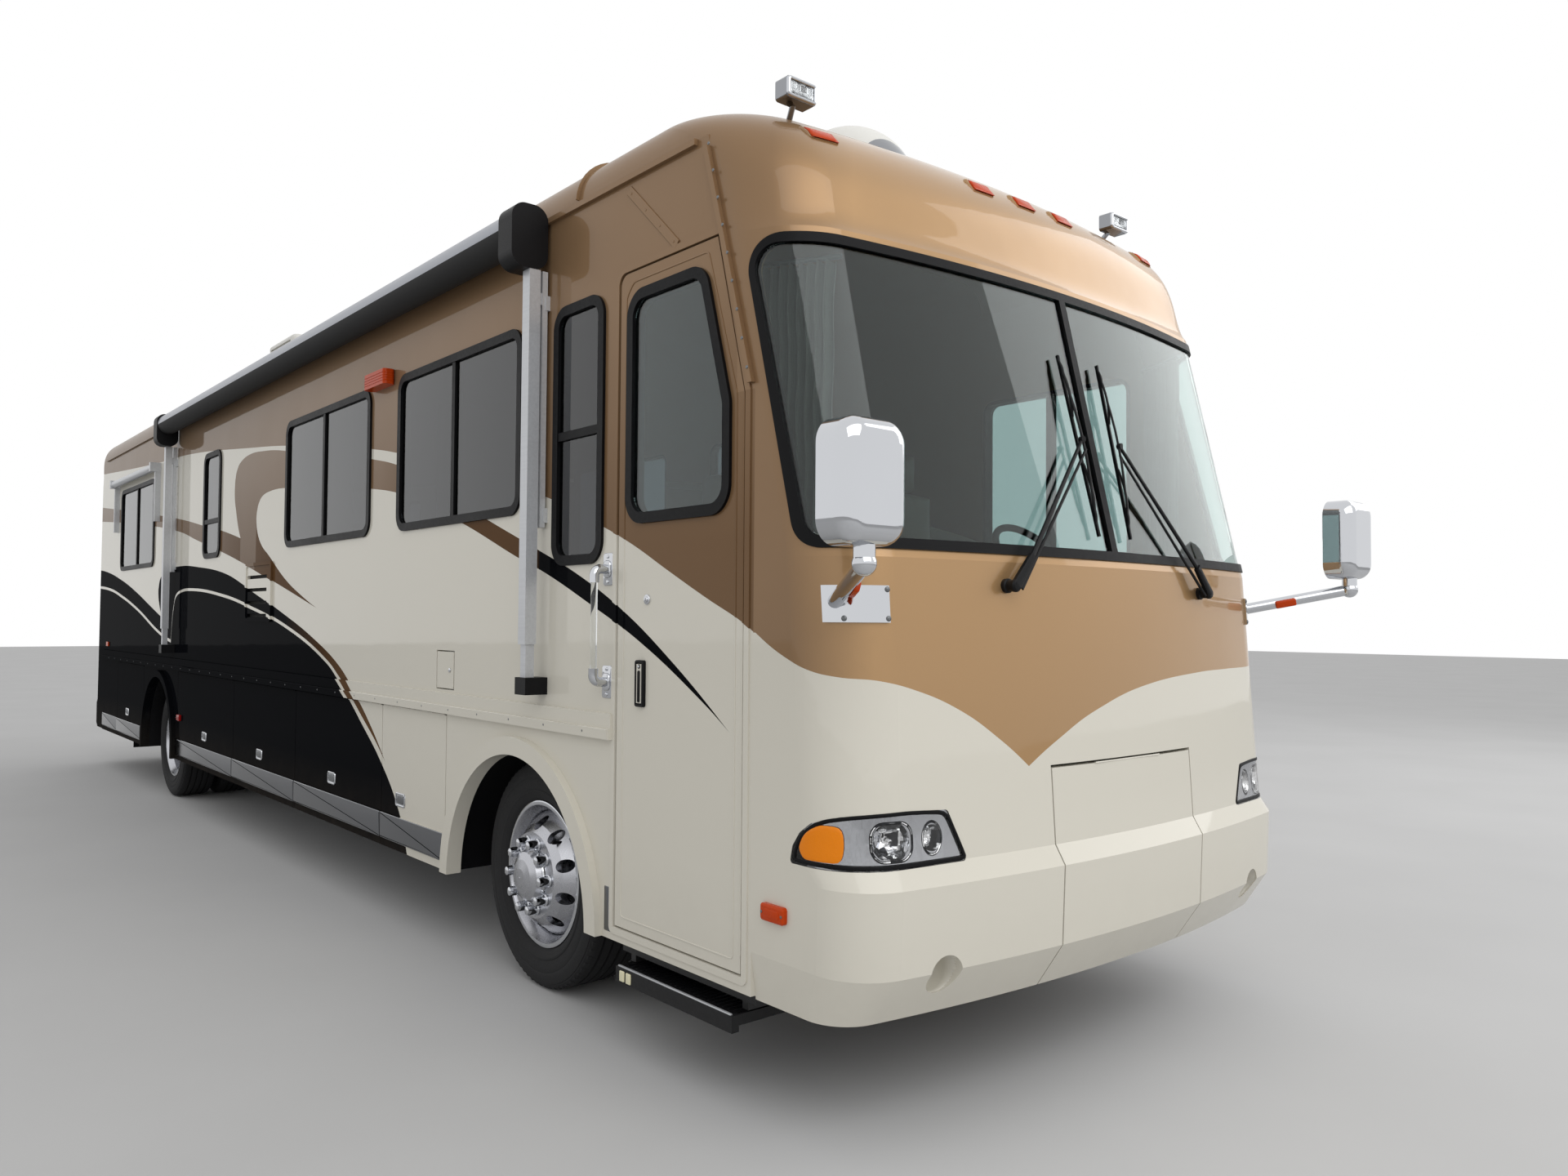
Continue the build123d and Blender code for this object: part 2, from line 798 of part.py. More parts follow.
def front_hub():
    """Drum, hub and pilot behind the disc, lug nuts and cap in front, bored for the spindle."""
    d = disc_offset
    hub = axle_turn([
        (0, -62), (drum_radius, -62), (drum_radius, 30), (hub_radius, 52), (hub_radius, d - 44),
        (172, d - 44), (172, d - disc_thick), (pilot_radius, d - disc_thick), (pilot_radius, d),
        (cap_radius, d), (cap_radius, d + 16), (cap_radius - 12, d + 36), (72, d + 52),
        (34, d + 60), (0, d + 62)])
    hub -= rod_x(-80, d - 60, 0, 0, spindle_radius + spindle_play)
    return hub


def rear_hub():
    """Drum and hub that carry both rear wheels."""
    d = -disc_offset
    hub = axle_turn([
        (0, d - 235), (drum_radius, d - 235), (drum_radius, d - 100), (hub_radius, d - 82),
        (hub_radius, d - 44), (172, d - 44), (172, d - disc_thick), (pilot_radius, d - disc_thick),
        (pilot_radius, d + 60), (64, d + 92), (0, d + 96)])
    hub -= rod_x(d - 260, d - 10, 0, 0, spindle_radius + spindle_play)
    return hub


def lug_nuts(face_u, reach):
    """Ring of nut covers standing on the disc."""
    nuts = rod_x(face_u, face_u + reach, nut_circle, 0, nut_radius)
    for a, b in around(nut_count, nut_circle)[1:]:
        nuts += rod_x(face_u, face_u + reach, a, b, nut_radius)
    return nuts


def place_wheel(shape, s, side=1):
    """Wheel built outwards along +X, set on the driver's side or mirrored to the door side."""
    placed = Pos(wheel_x, y_at(s), tyre_radius) * shape
    return placed if side > 0 else other_side(placed)


nodes = {}


def add(name, shape):
    """Keep a finished shape under its node's name."""
    nodes[name] = shape


def make_chassis():
    rails = [box(x - rail_width / 2, x + rail_width / 2, *rail_s, rail_z, rail_top)
             for x in (-rail_x, rail_x)]
    frame = rails[0] + rails[1]
    for s in crossmembers:
        frame += box(-rail_x, rail_x, s - 40, s + 40, rail_z + 20, rail_top - 20)
    return frame


def make_front_axle():
    """I-beam stand-in with an eye for the kingpin at each end and posts to the rails."""
    z = tyre_radius - axle_drop - 5
    beam = box(-kingpin_x + 55, kingpin_x - 55, front_axle_s - 45, front_axle_s + 45, z - 44, z + 44)
    for x in (-kingpin_x, kingpin_x):
        side = 1 if x > 0 else -1
        beam += Pos(x, y_at(front_axle_s), z) * Cylinder(42, 88)
        beam += box(x - side * 60, x - side * 10, front_axle_s - 38, front_axle_s + 38, z - 44, z + 44)
        beam -= Pos(x, y_at(front_axle_s), z) * Cylinder(pin_radius + spindle_play, 200)
        beam += box(side * rail_x - 40, side * rail_x + 40, front_axle_s - 45, front_axle_s + 45,
                    tyre_radius - axle_drop, rail_z)
    return beam


def make_rear_axle():
    """Drive axle: tube, bowl and spindles."""
    drum_end = wheel_x - disc_offset - 235
    tube = cross_cylinder(-drum_end + 8, drum_end - 8, rear_axle_s, tyre_radius, 70)
    tip = wheel_x - disc_offset - 14
    spindle = cross_cylinder(-tip, tip, rear_axle_s, tyre_radius, spindle_radius)
    bowl = axle_turn([(0, -230), (72, -230), (160, -120), (190, -40), (190, 40), (160, 120),
                      (72, 230), (0, 230)])
    bowl = Pos(0, y_at(rear_axle_s), tyre_radius) * bowl
    posts = [box(x - 38, x + 38, rear_axle_s - 50, rear_axle_s + 50, tyre_radius, rail_z)
             for x in (-rail_x, rail_x)]
    return tube + spindle + bowl + posts[0] + posts[1]


def make_knuckle(side):
    """Fork round the kingpin eye, with the spindle that carries the wheel."""
    z = tyre_radius - axle_drop - 5
    fork = Pos(0, 0, z - 75) * Cylinder(48, 50)
    fork += Pos(0, 0, z + 75) * Cylinder(48, 50)
    fork += Pos(0, 0, z) * Cylinder(pin_radius, 150)
    fork += Pos(side * 30, 0, z - 75) * Box(60, 80, 50)
    fork += Pos(side * 30, 0, z + 75) * Box(60, 80, 50)
    reach = kingpin_inset - 62 - 6
    fork += Pos(side * (reach - 9), 0, z + 30) * Box(18, 130, 260)
    spindle = rod_x(reach - 10, kingpin_inset + disc_offset - 66, 0, 0, spindle_radius)
    spindle = Pos(0, 0, tyre_radius) * (spindle if side > 0 else other_side(spindle))
    return Pos(side * kingpin_x, y_at(front_axle_s), 0) * (fork + spindle)


def tail(shape):
    """Turn something built nose-wise to the tail end."""
    plane = Plane(origin=(0, y_at(body_length / 2), 0), x_dir=(1, 0, 0), z_dir=(0, 1, 0))
    return mirror(shape, about=plane)


def rear_stack(rows, inset):
    """Ruled skin of the tail, built nose-wise."""
    faces = [cap_face(z, s, r, w, rear_depth, inset, rear_bow) for z, s, r, w in rows]
    solid = loft(faces[:2], ruled=True)
    for low, high in zip(faces[1:], faces[2:]):
        solid += loft([low, high], ruled=True)
    return solid


def rear_body(inset=0.0):
    """Filled rear cap with its rounded crown."""
    upper = []
    for z, s, r, w in rear_dome_rows:
        drop = inset * max(0, z - gutter_z) / roof_radius
        upper.append(cap_face(z - drop, s, r, w, rear_depth, inset, rear_bow))
    return rear_stack(rear_rows, inset) + loft(upper)


def make_rear_cap():
    """Moulded tail, open for the engine door and the lamps."""
    shell = rear_body() - rear_body(cap_wall)
    shell &= box(-half, half, -5, rear_depth, 300, roof_z + 5)
    shell -= box(-engine_door_half - gap, engine_door_half + gap, -50, 200,
                 engine_door_z - swing_gap, engine_door_top + hinge_room)
    for x in (-tail_lamp_x, tail_lamp_x):
        shell -= box(x - tail_lamp_width / 2, x + tail_lamp_width / 2, -50, 130,
                     tail_lamp_z, tail_lamp_z + tail_lamp_height)
    return tail(shell)


def make_engine_door():
    """Top-hinged engine door with a bank of louvre slots."""
    door = rear_stack(rear_rows, 0) - rear_stack(rear_rows, cap_wall)
    door &= box(-engine_door_half, engine_door_half, -50, 200, engine_door_z, engine_door_top)
    for row in range(louvre_rows):
        z = louvre_z + row * louvre_pitch
        for x in (-louvre_width / 2 - 20, louvre_width / 2 + 20):
            door -= box(x - louvre_width / 2, x + louvre_width / 2, -50, 200, z, z + louvre_slot)
    z = engine_door_top + barrel_lap
    door += rod((-barrel_half, engine_hinge_s, z), (barrel_half, engine_hinge_s, z), barrel_radius)
    return tail(door)


def make_tail_lamps():
    """Upright rear lamp clusters, flush in the rear cap's corners."""
    lamps = []
    for x in (-tail_lamp_x, tail_lamp_x):
        body = rear_stack(rear_rows, -12) - rear_stack(rear_rows, cap_wall)
        lamps.append(body & box(x - tail_lamp_width / 2, x + tail_lamp_width / 2, -50, 130,
                                tail_lamp_z, tail_lamp_z + tail_lamp_height))
    return tail(group(*lamps))


def make_marker_lamps():
    """Clearance and side marker lamps all round, and the porch lamp."""
    upper = [cap_face(z, s, r, w, cap_roof_depth, -12) for z, s, r, w in dome_rows[:4]]
    inner = [cap_face(z, s, r, w, cap_roof_depth, 0) for z, s, r, w in dome_rows]
    skin = loft(upper) - loft(inner)
    lamps = []
    for x, z in clearance_rows:
        lamps.append(skin & box(x - clearance_width / 2, x + clearance_width / 2, 300, 800,
                                z - clearance_height / 2, z + clearance_height / 2))
    corner = box(-half - 12, -half, *corner_marker)
    lamps += [corner, other_side(corner)]
    for s, z in side_markers:
        lamp = box(-half - 12, -half, s - 45, s + 45, z - 22, z + 22)
        lamps += [lamp, other_side(lamp)]
    crown = rear_dome_rows[:3]
    rear_skin = loft([cap_face(z, s, r, w, rear_depth, -10, rear_bow) for z, s, r, w in crown])
    rear_skin -= loft([cap_face(z, s, r, w, rear_depth, 0, rear_bow) for z, s, r, w in crown])
    for x in rear_marker_x:
        lamps.append(tail(rear_skin & box(x - 40, x + 40, -50, 300, *rear_marker_z)))
    porch = box(-half - porch_depth, -half, *porch_lamp)
    lamps.append(fillet(porch.edges().filter_by(Axis.Z), 20))
    return group(*lamps)


def make_mirrors():
    """Mirror heads on swept arms from plates on the front cap."""
    head = box(-mirror_x - mirror_width / 2, -mirror_x + mirror_width / 2,
               -mirror_lead, -mirror_lead + mirror_depth, mirror_z, mirror_z + mirror_height)
    head = fillet(head.edges().filter_by(Axis.Y), mirror_corner)
    head = fillet(head.faces().sort_by(Axis.Y)[0].edges(), mirror_front_round)
    mid = -mirror_lead + mirror_depth / 2
    stem = rod((-mirror_x, mid, elbow_z - 4), (-mirror_x, mid, mirror_z + 4), 30)
    elbow = Pos(-mirror_x, y_at(mid), elbow_z) * Sphere(34)
    arm = rod((-mirror_x, mid, elbow_z), (mirror_foot_x, mirror_foot_s, mirror_foot_z), mirror_arm)
    skin = stack(band_low, 0)
    x0, x1, z0, z1 = mirror_plate
    foot = (stack(band_low, -10) - skin) & box(x0, x1, -100, 350, z0, z1)
    unit = head + stem + elbow + arm + foot
    return both_sides(unit - skin)


def front_s(x, z):
    """Station of the front face at a point of the windscreen band."""
    rows = band_rows if z > band_rows[0][0] else band_low
    (z0, s0, _, _), (z1, s1, _, _) = rows
    nose = s0 + (s1 - s0) * (z - z0) / (z1 - z0)
    return nose + bow_radius - math.sqrt(bow_radius ** 2 - x ** 2)


def make_wipers():
    """Wipers parked upright beside the windscreen's middle post."""
    def out(point, lift, dx=0, dz=0):
        x, z = point[0] + dx, point[1] + dz
        return (x, front_s(x, z) - lift, z)

    x, z = wiper_pivot
    half_blade = ((blade_low[0] + blade_high[0]) / 2, wiper_knee[1])
    boss = rod(out(wiper_pivot, 50), out(wiper_pivot, 0), 24)
    arm = rod(out(wiper_pivot, 40), out(wiper_knee, 46), 7)
    second = rod(out(wiper_pivot, 40, 26, -10), out(wiper_knee, 46, 8, -30), 6)
    blade = rod(out(blade_low, 34), out(blade_high, 34), 11)
    link = rod(out(wiper_knee, 46), out(half_blade, 30), 9)
    foot = box(x - 30, x + 60, front_s(x, z) - 54, front_s(x, z) - 26, z - 28, z + 28)
    return both_sides(boss + arm + second + blade + link + foot - stack(band_low, 0))


def awning_ends():
    """Each end head's first and last station, and the station of its folded arm."""
    front = (awning_front - awning_head, awning_front, awning_front - awning_head / 2 - arm_shift)
    rear = (awning_back, awning_back + awning_head, awning_back + awning_head / 2 + arm_shift)
    return front, rear


def make_awning():
    """Rolled awning on two folded arms, each a wide outer bar before a thin wall rail."""
    pieces = [rod((-awning_x, awning_front, awning_z), (-awning_x, awning_back, awning_z), awning_radius)]
    head_z, step_z1, foot_top = awning_head_z[0], arm_foot_z + arm_step, arm_foot_z + arm_foot
    x0, x1 = -half - arm_out[0], -half - arm_out[1]
    for s0, s1, mid in awning_ends():
        rail = box(-half - 34, -half - 10, mid - 24, mid + 24, awning_rail_z, head_z)
        outer = box(x0, x1, mid - 30, mid + 30, step_z1, head_z)
        slim = box(x0 + 8, x1 - 4, mid - 22, mid + 22, foot_top, step_z1)
        joiner = box(x1 - 5, -half - 20, mid - 20, mid + 20, 2880, 2930)
        for z in (awning_rail_z + 20, 2860):
            rail += box(-half - 20, -half, mid - 28, mid + 28, z, z + 60)
        pieces.append(rail + outer + slim + joiner)
    return group(*pieces, make_window_awning())


def make_awning_heads():
    """Round end heads of the awning and the feet of its arms."""
    pieces = []
    for s0, s1, mid in awning_ends():
        head = box(-awning_x - awning_radius - 6, -half - gutter_proud, s0, s1, *awning_head_z)
        pieces.append(fillet(head.edges().filter_by(Axis.Y), awning_head_round))
        pieces.append(box(-half - arm_out[0] - 4, -half, mid - 45, mid + 45,
                          arm_foot_z, arm_foot_z + arm_foot))
    return group(*pieces)


def make_window_awning():
    """Short roller over the bedroom window, on two drop brackets."""
    s0, s1, z, out, radius = window_roller
    unit = rod((-half - out, s0, z), (-half - out, s1, z), radius)
    for s in (s0, s1):
        unit += box(-half - out - radius - 4, -half, s - 22, s + 22, z - 40, z + 40)
        unit += box(-half - out + 4, -half, s - 15, s + 15, z - 485, z - 40)
    return unit


def make_roof_units():
    """Air conditioners, vents, the dome, the refrigerator's cowl and two docking lights."""
    units = []
    for s, long, wide in ac_rows:
        levels = [(0, 0), (ac_height * 0.55, 12), (ac_height, 110)]
        faces = [Pos(0, y_at(s), roof_z + up) * RectangleRounded(wide - 2 * cut, long - 2 * cut, 95)
                 for up, cut in levels]
        units.append(loft(faces[:2], ruled=True) + loft(faces[1:], ruled=True))
    for s in roof_vents:
        vent = box(-230, 230, s - 230, s + 230, roof_z, roof_z + 90)
        units.append(fillet(vent.edges().filter_by(Axis.Z), 60))
    ball = Pos(dome_x, y_at(dome_s), dome_top - dome_radius) * Sphere(dome_radius)
    units.append((ball & box(-half, half, 0, cap_roof_depth, gutter_z, roof_z + 400)) - dome_cut())
    x0, x1, s0, s1, high = fridge_vent
    cowl = box(x0, x1, s0, s1, roof_z, roof_z + high)
    cowl = fillet(cowl.edges().filter_by(Axis.Z), 45)
    cowl = fillet(cowl.faces().sort_by(Axis.Z)[-1].edges(), 28)
    for step in range(3):
        z = roof_z + 30 + 34 * step
        cowl -= box(x0 - 5, x0 + 18, s0 + 60, s1 - 60, z, z + 14)
    units.append(cowl)
    lamp_s = docking_s
    for side in (-1, 1):
        x = side * docking_x
        lamp = box(x - 68, x + 68, lamp_s - 35, lamp_s + 25, *docking_z)
        lamp = fillet(lamp.edges().filter_by(Axis.Y), 12)
        foot = rod((x - side * 30, lamp_s + 80, docking_z[0] - 65), (x, lamp_s, docking_z[0] + 25), 11)
        units.append(lamp + foot - dome_cut())
    return group(*units)


def dome_cut():
    """The filled dome that the fittings stand on."""
    return loft([cap_face(z, s, r, w, cap_roof_depth, 0) for z, s, r, w in dome_rows])


def make_grab_handle():
    """Upright bar with two stand-offs, behind the door."""
    z0, z1 = handle_z
    handle = rod((-half - handle_out, handle_s, z0), (-half - handle_out, handle_s, z1), handle_radius)
    for z in (z0 - 12, z1 + 12):
        handle += box(-half - 84, -half, handle_s - 26, handle_s + 26, z - 34, z + 34)
    return handle


def make_entry_door():
    """Door leaf with its window's opening, its pull and its hinge barrel."""
    door = side_slab(door_face(door_outline), -half, wall)
    hole = polygon(door_window, door_window_corner)
    door -= side_slab(offset(hole, -frame_lap, kind=Kind.INTERSECTION), -half - 1, wall + 2)
    door += box(-half - 12, -half, *door_pull)
    hinge = (-half - barrel_lap, door_front - barrel_lap)
    door += rod((*hinge, door_z + 60), (*hinge, door_kink_z - 20), barrel_radius)
    return door


def make_door_frame():
    """Black frame of the door's window."""
    outline = polygon(door_window, door_window_corner)
    frame = side_slab(outline, -half - frame_proud, frame_proud)
    frame += side_slab(offset(outline, -frame_lap, kind=Kind.INTERSECTION), -half, wall)
    hole = offset(outline, -frame_face, kind=Kind.INTERSECTION)
    return frame - side_slab(hole, -half - frame_proud - 1, wall + frame_proud + 2)


def make_door_glass():
    outline = offset(polygon(door_window, door_window_corner), -frame_face, kind=Kind.INTERSECTION)
    return side_slab(outline, -half + 2, glass_thick)


def make_entry_step():
    """Pull-out step below the door, held out of its well."""
    s0, s1 = step_rows
    tread = box(-half - 8, -half + 330, s0, s1, step_z + 20, step_z + 55)
    lip = box(-half - 8, -half + 22, s0, s1, step_z, step_z + 20)
    return tread + lip


def make_fuel_flap():
    """Fuel filler flap, hinged at its front edge."""
    s0, s1, z0, z1 = fuel_flap
    barrel = rod((-half, s0 - barrel_lap, z0 + 10), (-half, s0 - barrel_lap, z1 - 10), barrel_radius)
    return box(-half, -half + 25, s0, s1, z0, z1) + barrel


def make_floor():
    """Deck with the step well, and the raised deck over the engine."""
    inner = half - wall - 2
    deck = box(-inner, inner, cap_depth + 2, rear_deck_s, floor_z, floor_top)
    deck -= box(-inner - 5, well_x, door_front, door_rear, floor_z - 5, floor_top + 5)
    well_floor = step_z + 110
    well = box(-inner, well_x + 20, door_front - 20, door_rear + 20, well_floor - 20, floor_z)
    well -= box(-inner - 5, well_x, door_front, door_rear, well_floor, floor_z + 1)
    treads = box(tread_x, well_x, door_front, door_rear, tread_z, tread_z + 25)
    treads += box(tread_x, tread_x + 20, door_front, door_rear, well_floor, tread_z)
    for s, inward in zip(step_rows, (30, -30)):
        well += box(-half + 60, -half + 400, min(s, s + inward), max(s, s + inward),
                    well_floor - 50, well_floor - 20)
    rear = box(-inner, inner, rear_deck_s, rear_s - 2, rear_deck_z, rear_deck_z + floor_thick)
    riser = box(-inner, inner, rear_deck_s, rear_deck_s + 20, floor_z, rear_deck_z)
    lip = box(-inner, inner, rear_deck_s - 20, rear_deck_s + 20, floor_z, floor_top)
    return deck + well + treads + rear + riser + lip


def tray(s0, s1, splits):
    """Open-fronted bays between bulkheads, on the door side."""
    body = box(-tray_outer, -tray_inner, s0, s1, bay_floor_z, floor_z)
    marks = [s0] + list(splits) + [s1]
    for a, b in zip(marks, marks[1:]):
        body -= box(-tray_outer - 5, -tray_inner - bay_plate, a + bay_plate / 2, b - bay_plate / 2,
                    bay_floor_z + bay_plate, floor_z + 5)
    return body


def make_trays():
    """Storage bays behind the lids, on both sides."""
    lids = [row[1] for row in right_lids[1:4]]
    front = tray(right_lids[0][1], right_lids[3][2], lids)
    rear = tray(right_lids[4][1], right_lids[4][2], [])
    left = tray(left_lids[0][1], left_lids[2][2], [row[1] for row in left_lids[1:]])
    return group(front, rear, other_side(left))


def make_tanks():
    """Fuel and waste tanks between the rails, and the muffler with its tailpipe."""
    fuel = box(*fuel_tank)
    fuel = fillet(fuel.edges().filter_by(Axis.X), 60)
    waste = box(*waste_tank)
    x, s0, s1, z = muffler
    can = rod((x, s0, z), (x, s1, z), 120)
    pipe = rod((x, s1, z), (x, body_length - 200, z - 150), 50)
    return group(fuel, waste, can + pipe)


def make_engine():
    """Plain block for the engine and its gearbox."""
    return box(*engine_block)


def make_interior():
    """Dash with the steering column and wheel, cupboards and the washroom walls."""
    dash = stack([(1500, 82, 245, half), (1780, 100, 255, half)], cap_wall)
    dash &= box(-1160, 1160, 100, 640, 1500, 1780)
    dash -= box(-1300, -560, 500, 700, 1400, 1800)
    x, s, z = steering_wheel
    column = rod((x, 640, 1640), (x, s - 20, z - 20), 40)
    wheel = Pos(x, y_at(s), z) * Rot(49, 0, 0) * Torus(215, 16)
    spoke = Pos(x, y_at(s), z) * Rot(49, 0, 0) * Box(430, 50, 16)
    galley = box(-half + wall + 5, -600, 3700, 5700, floor_top, 2000)
    s0, s1 = washroom_wall
    screen = box(-half + wall + 5, -350, s0, s1, floor_top, gutter_z - 30)
    screen += box(-half + roof_radius, -350, s0, s1, gutter_z - 30, roof_z - wall - 2)
    return group(dash + column + wheel + spoke, galley, screen, other_side(screen))


def make_furnishings():
    """Seats, sofa, dinette and bed, as plain bodies under their upholstery, and the gathered curtain."""
    pieces = []
    for x in seat_x:
        seat = box(x - 160, x + 160, 1330, 1700, floor_top, 1450)
        for wide, s0, s1, z0, z1, corner in seat_rows:
            seat += fillet(box(x - wide, x + wide, s0, s1, z0, z1).edges(), corner)
        pieces.append(seat)
    inner = half - wall - 5
    sofa = box(500, inner, *sofa_s, floor_top, 1560)
    sofa += box(1010, inner, *sofa_s, 1560, 1960)
    dinette = box(600, inner, *dinette_s, floor_top, 1600)
    deck = rear_deck_z + floor_thick
    bed = box(-780, 780, *bed_s, deck, deck + 350)
    for s in curtain_s:
        pieces.append(rod((curtain_x, s, 1800), (curtain_x, s, 2780), 42))
    return group(*pieces, sofa, dinette, bed)


def make_receiver():
    """Two-inch square receiver with its cross tube, pin holes and two chain eyes."""
    outer, inner = receiver / 2 + receiver_wall, receiver / 2
    s0, s1 = body_length - receiver_length, body_length
    cross = box(-rail_x - 40, rail_x + 40, s0 + 40, s0 + 120, receiver_z - 40, receiver_z + 40)
    tube = box(-outer, outer, s0, s1, receiver_z - outer, receiver_z + outer)
    body = cross + tube - box(-inner, inner, s0 - 5, s1 + 5, receiver_z - inner, receiver_z + inner)
    body -= cross_cylinder(-80, 80, s1 - pin_setback, receiver_z, pin_hole)
    for x in (-rail_x, rail_x):
        body += box(x - 30, x + 30, s0 + 40, s0 + 120, receiver_z + 40, rail_z)
    body += box(-chain_eye_x - 30, -outer, s1 - 30, s1 - 30 + chain_plate, receiver_z - 28, receiver_z + 28)
    body += box(outer, chain_eye_x + 30, s1 - 30, s1 - 30 + chain_plate, receiver_z - 28, receiver_z + 28)
    for x in (-chain_eye_x, chain_eye_x):
        body -= rod((x, s1 - 60, receiver_z), (x, s1 + 10, receiver_z), chain_eye_radius)
    return body


def make_mud_flap():
    """Full-width rubber flap behind the drive axle, cut out for the tailpipe."""
    flap = box(-1000, 1000, flap_s, flap_s + 10, 190, 560)
    return flap - box(480, 640, flap_s - 5, flap_s + 15, 450, 600)


makers = [
    ("chassis_frame", make_chassis), ("hitch_receiver", make_receiver),
    ("front_axle", make_front_axle), ("rear_axle", make_rear_axle), ("engine", make_engine),
    ("underbody_tanks", make_tanks), ("floor", make_floor), ("bay_trays", make_trays),
    ("side_wall_right", make_right_wall), ("side_wall_left", make_left_wall),
    ("roof", make_roof), ("front_cap", make_front_cap), ("rear_cap", make_rear_cap),
    ("windscreen_seal", make_screen_seal), ("windscreen_glass", make_screen_glass),
    ("headlamps", make_headlamps), ("headlamp_lenses", make_lamp_lenses),
    ("marker_lamps", make_marker_lamps),
    ("tail_lamps", make_tail_lamps), ("mirrors", make_mirrors), ("wipers", make_wipers),
    ("awning", make_awning), ("awning_heads", make_awning_heads),
    ("roof_units", make_roof_units), ("skirt_panels", make_skirts),
    ("wheel_liners", make_liners), ("cabin_interior", make_interior),
    ("furnishings", make_furnishings),
    ("grab_handle", make_grab_handle),
    ("entry_door", make_entry_door), ("door_window_frame", make_door_frame),
    ("door_window_glass", make_door_glass), ("entry_step", make_entry_step),
    ("front_hatch", make_hatch), ("engine_door", make_engine_door),
    ("fuel_flap", make_fuel_flap),
]
for name, make in makers:
    add(name, make())

add("window_frames", group(*[window_frame(row) for row in window_rows],
                           *[other_side(window_frame(row)) for row in driver_rows]))
add("window_glass", group(*[window_pane(row) for row in window_rows],
                          *[other_side(window_pane(row)) for row in driver_rows]))
for name, s0, s1 in right_lids:
    add(name, make_lid(s0, s1))
for name, s0, s1 in left_lids:
    add(name, other_side(make_lid(s0, s1)))

front_wheel = wheel_rim() + front_hub() + lug_nuts(disc_offset, 50)
rear_wheels = wheel_rim(-1) + Pos(-twin_pitch, 0, 0) * wheel_rim() + rear_hub()
rear_wheels += lug_nuts(-disc_offset + disc_thick, 40)
tyre = tyre_ring()
twin_tyres = group(tyre, Pos(-twin_pitch, 0, 0) * tyre)
for label, side in (("right", -1), ("left", 1)):
    add(f"knuckle_{label}", make_knuckle(side))
    add(f"front_wheel_{label}", place_wheel(front_wheel, front_axle_s, side))
    add(f"front_tyre_{label}", place_wheel(tyre, front_axle_s, side))
    add(f"rear_wheels_{label}", place_wheel(rear_wheels, rear_axle_s, side))
    add(f"rear_tyres_{label}", place_wheel(twin_tyres, rear_axle_s, side))

for name, shape in nodes.items():
    export_step(shape, f"parts/{name}.step")
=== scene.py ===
import json
import math

import bmesh
import bpy
from mathutils import Matrix, Vector


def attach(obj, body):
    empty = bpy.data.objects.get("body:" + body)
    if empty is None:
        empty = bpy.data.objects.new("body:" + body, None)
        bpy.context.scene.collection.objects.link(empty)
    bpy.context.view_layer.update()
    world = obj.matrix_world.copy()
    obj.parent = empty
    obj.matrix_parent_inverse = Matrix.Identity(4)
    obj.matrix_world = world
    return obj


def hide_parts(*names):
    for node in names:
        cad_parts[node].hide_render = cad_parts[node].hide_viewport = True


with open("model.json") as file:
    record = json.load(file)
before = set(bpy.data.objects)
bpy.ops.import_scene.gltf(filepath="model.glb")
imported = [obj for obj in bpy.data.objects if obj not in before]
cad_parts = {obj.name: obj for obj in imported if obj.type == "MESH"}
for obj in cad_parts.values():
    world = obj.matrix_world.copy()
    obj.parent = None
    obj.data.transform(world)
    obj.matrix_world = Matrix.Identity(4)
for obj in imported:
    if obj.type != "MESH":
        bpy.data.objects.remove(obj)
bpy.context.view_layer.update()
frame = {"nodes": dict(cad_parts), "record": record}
print("stage: frame loaded")

# The model's middle along Y, in metres behind the nose
noseOffset = 5.9625
halfWidth = 1.27


def yAt(station):
    return station - noseOffset


